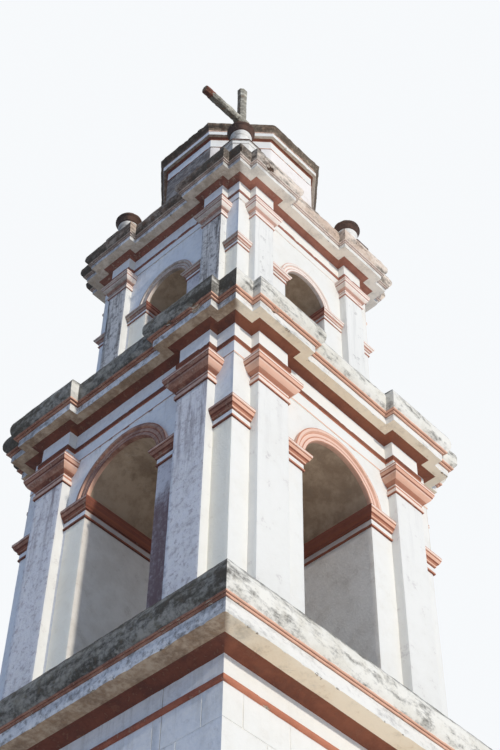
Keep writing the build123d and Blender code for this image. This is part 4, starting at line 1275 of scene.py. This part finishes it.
upright_bar = bar(pedestal_top - CROSS_SUNK, cross_high.z, "up", (False, True))
points, _, _ = weathered(upright_bar, 0, CROSS_WEAR)
grids = [patch(points, soil=CROSS_SOIL)]
for start, end, flared, wear in ((cross_low.x, CROSS_OVERLAP, (True, False), ROTTED_ARM_WEAR),
                                 (-CROSS_OVERLAP, cross_high.x, (False, True), ARM_WEAR)):
    arm, _, _ = weathered(bar(start, end, "across", flared), 0, wear)
    arm = arm + lift
    stump_end = cross_low.x + STUMP_LENGTH + STUMP_RAGGED * rough(arm, STUMP_GRAIN)
    stump = (arm[..., 0] < stump_end)[:-1, :-1]
    stump = np.concatenate([stump, stump[-1:]])
    rot = np.clip(LEAST_ROT - ROT_GROWTH * arm[..., 0] / cross_high.x, LEAST_ROT, 1.0)
    grids.append(patch(arm, stump * 1, soil=rot))
knot, _ = bar(-CROSS_BAR - CROSS_KNOT, CROSS_BAR + CROSS_KNOT, "across", columns=24)
grids.append(patch(knot * np.array(KNOT_SHAPE) + lift, soil=CROSS_SOIL))
pedestal_points = [(PEDESTAL_RADIUS * out, cross_low.z + PEDESTAL_HEIGHT * up)
                   for out, up, _ in PEDESTAL_STEPS]
outline, kinds, arris = profile(
    *through(pedestal_points, [kind for _, _, kind in PEDESTAL_STEPS]),
    PEDESTAL_EASE, PEDESTAL_STEP)
surface = turned_surface((0.0, 0.0), outline, PEDESTAL_COLUMNS)
points, _, _ = weathered(surface, 0, PEDESTAL_WEAR)
grids.append(patch(points, kinds[None, :-1], soil=PEDESTAL_SOIL))
make_piece("cross_and_pedestal", grids, [cross_wash, rotten, black_cap],
           ["cross"], 45)


# The floor and backdrop, soft light, and the camera.
FLOOR_HALF = 60


def placed(name, data):
    """An object of the studio, in the scene."""
    thing = bpy.data.objects.new(name, data)
    bpy.context.scene.collection.objects.link(thing)
    return thing


ground = bpy.data.meshes.new("studio_floor")
ground.from_pydata([(x * FLOOR_HALF, y * FLOOR_HALF, 0)
                    for x, y in ((-1, -1), (1, -1), (1, 1), (-1, 1))], [], [(0, 1, 2, 3)])
floor_finish = bpy.data.materials.new("studio_floor")
floor_finish.use_nodes = True
floor_shader = floor_finish.node_tree.nodes["Principled BSDF"]
floor_shader.inputs["Base Color"].default_value = tone("E2E0DC")
floor_shader.inputs["Roughness"].default_value = 0.9
ground.materials.append(floor_finish)
floor = placed("studio_floor", ground)
# The low lamp shines up through the floor, as light thrown back by the ground
floor.visible_shadow = False

world = bpy.data.worlds.new("studio")
bpy.context.scene.world = world
world.use_nodes = True
sky = world.node_tree
fill = sky.nodes["Background"]
fill.inputs[0].default_value = (0.62, 0.84, 1.26, 1)
fill.inputs[1].default_value = 0.42
plain = add_node(sky, "ShaderNodeBackground", {0: (0.93, 0.95, 0.97, 1), 1: 1.0})
rays = add_node(sky, "ShaderNodeLightPath").outputs
camera_ray, glossy_ray, through_ray = (
    Share(rays[f"Is {kind} Ray"]) for kind in ("Camera", "Glossy", "Transmission"))
seen_plain = camera_ray.larger(glossy_ray).larger(through_ray)
mix = add_node(sky, "ShaderNodeMixShader", {0: seen_plain, 1: fill.outputs[0], 2: plain.outputs[0]})
sky.links.new(mix.outputs[0], sky.nodes["World Output"].inputs[0])


def lamp(name, azimuth, elevation, strength, softness, colour):
    """A soft distant lamp, azimuth from -Y towards +X."""
    light = bpy.data.lights.new(name, "SUN")
    light.energy, light.angle, light.color = strength, radians(softness), colour
    a, e = radians(azimuth), radians(elevation)
    toward = Vector((sin(a) * cos(e), -cos(a) * cos(e), sin(e)))
    placed(name, light).rotation_euler = toward.to_track_quat("Z", "Y").to_euler()


lamp("key_lamp", -7, 16, 2.12, 2.5, (1.0, 0.955, 0.875))
lamp("back_lamp", 140, 40, 0.9, 30, (1.0, 0.98, 0.95))
lamp("low_lamp", 15, -48, 0.85, 70, (1.0, 0.94, 0.85))

EYE = (-10.7233, -10.7160, 1.600)
EYE_PITCH, EYE_YAW, EYE_ROLL = radians(49.0726), radians(43.9787), radians(1.1184)
lens = bpy.data.cameras.new("eye")
lens.sensor_fit, lens.sensor_width, lens.sensor_height, lens.lens = "AUTO", 36.0, 36.0, 70.711
lens.clip_end = 300.0
eye = placed("eye", lens)
ahead = Vector((cos(EYE_YAW) * cos(EYE_PITCH), sin(EYE_YAW) * cos(EYE_PITCH), sin(EYE_PITCH)))
level = Vector((sin(EYE_YAW), -cos(EYE_YAW), 0))
over = level.cross(ahead)
across = level * cos(EYE_ROLL) + over * sin(EYE_ROLL)
upward = over * cos(EYE_ROLL) - level * sin(EYE_ROLL)
turned = Matrix((across, upward, -ahead)).transposed().to_4x4()
eye.matrix_world = Matrix.Translation(EYE) @ turned
bpy.context.scene.camera = eye
bpy.context.scene.view_settings.view_transform = "Standard"
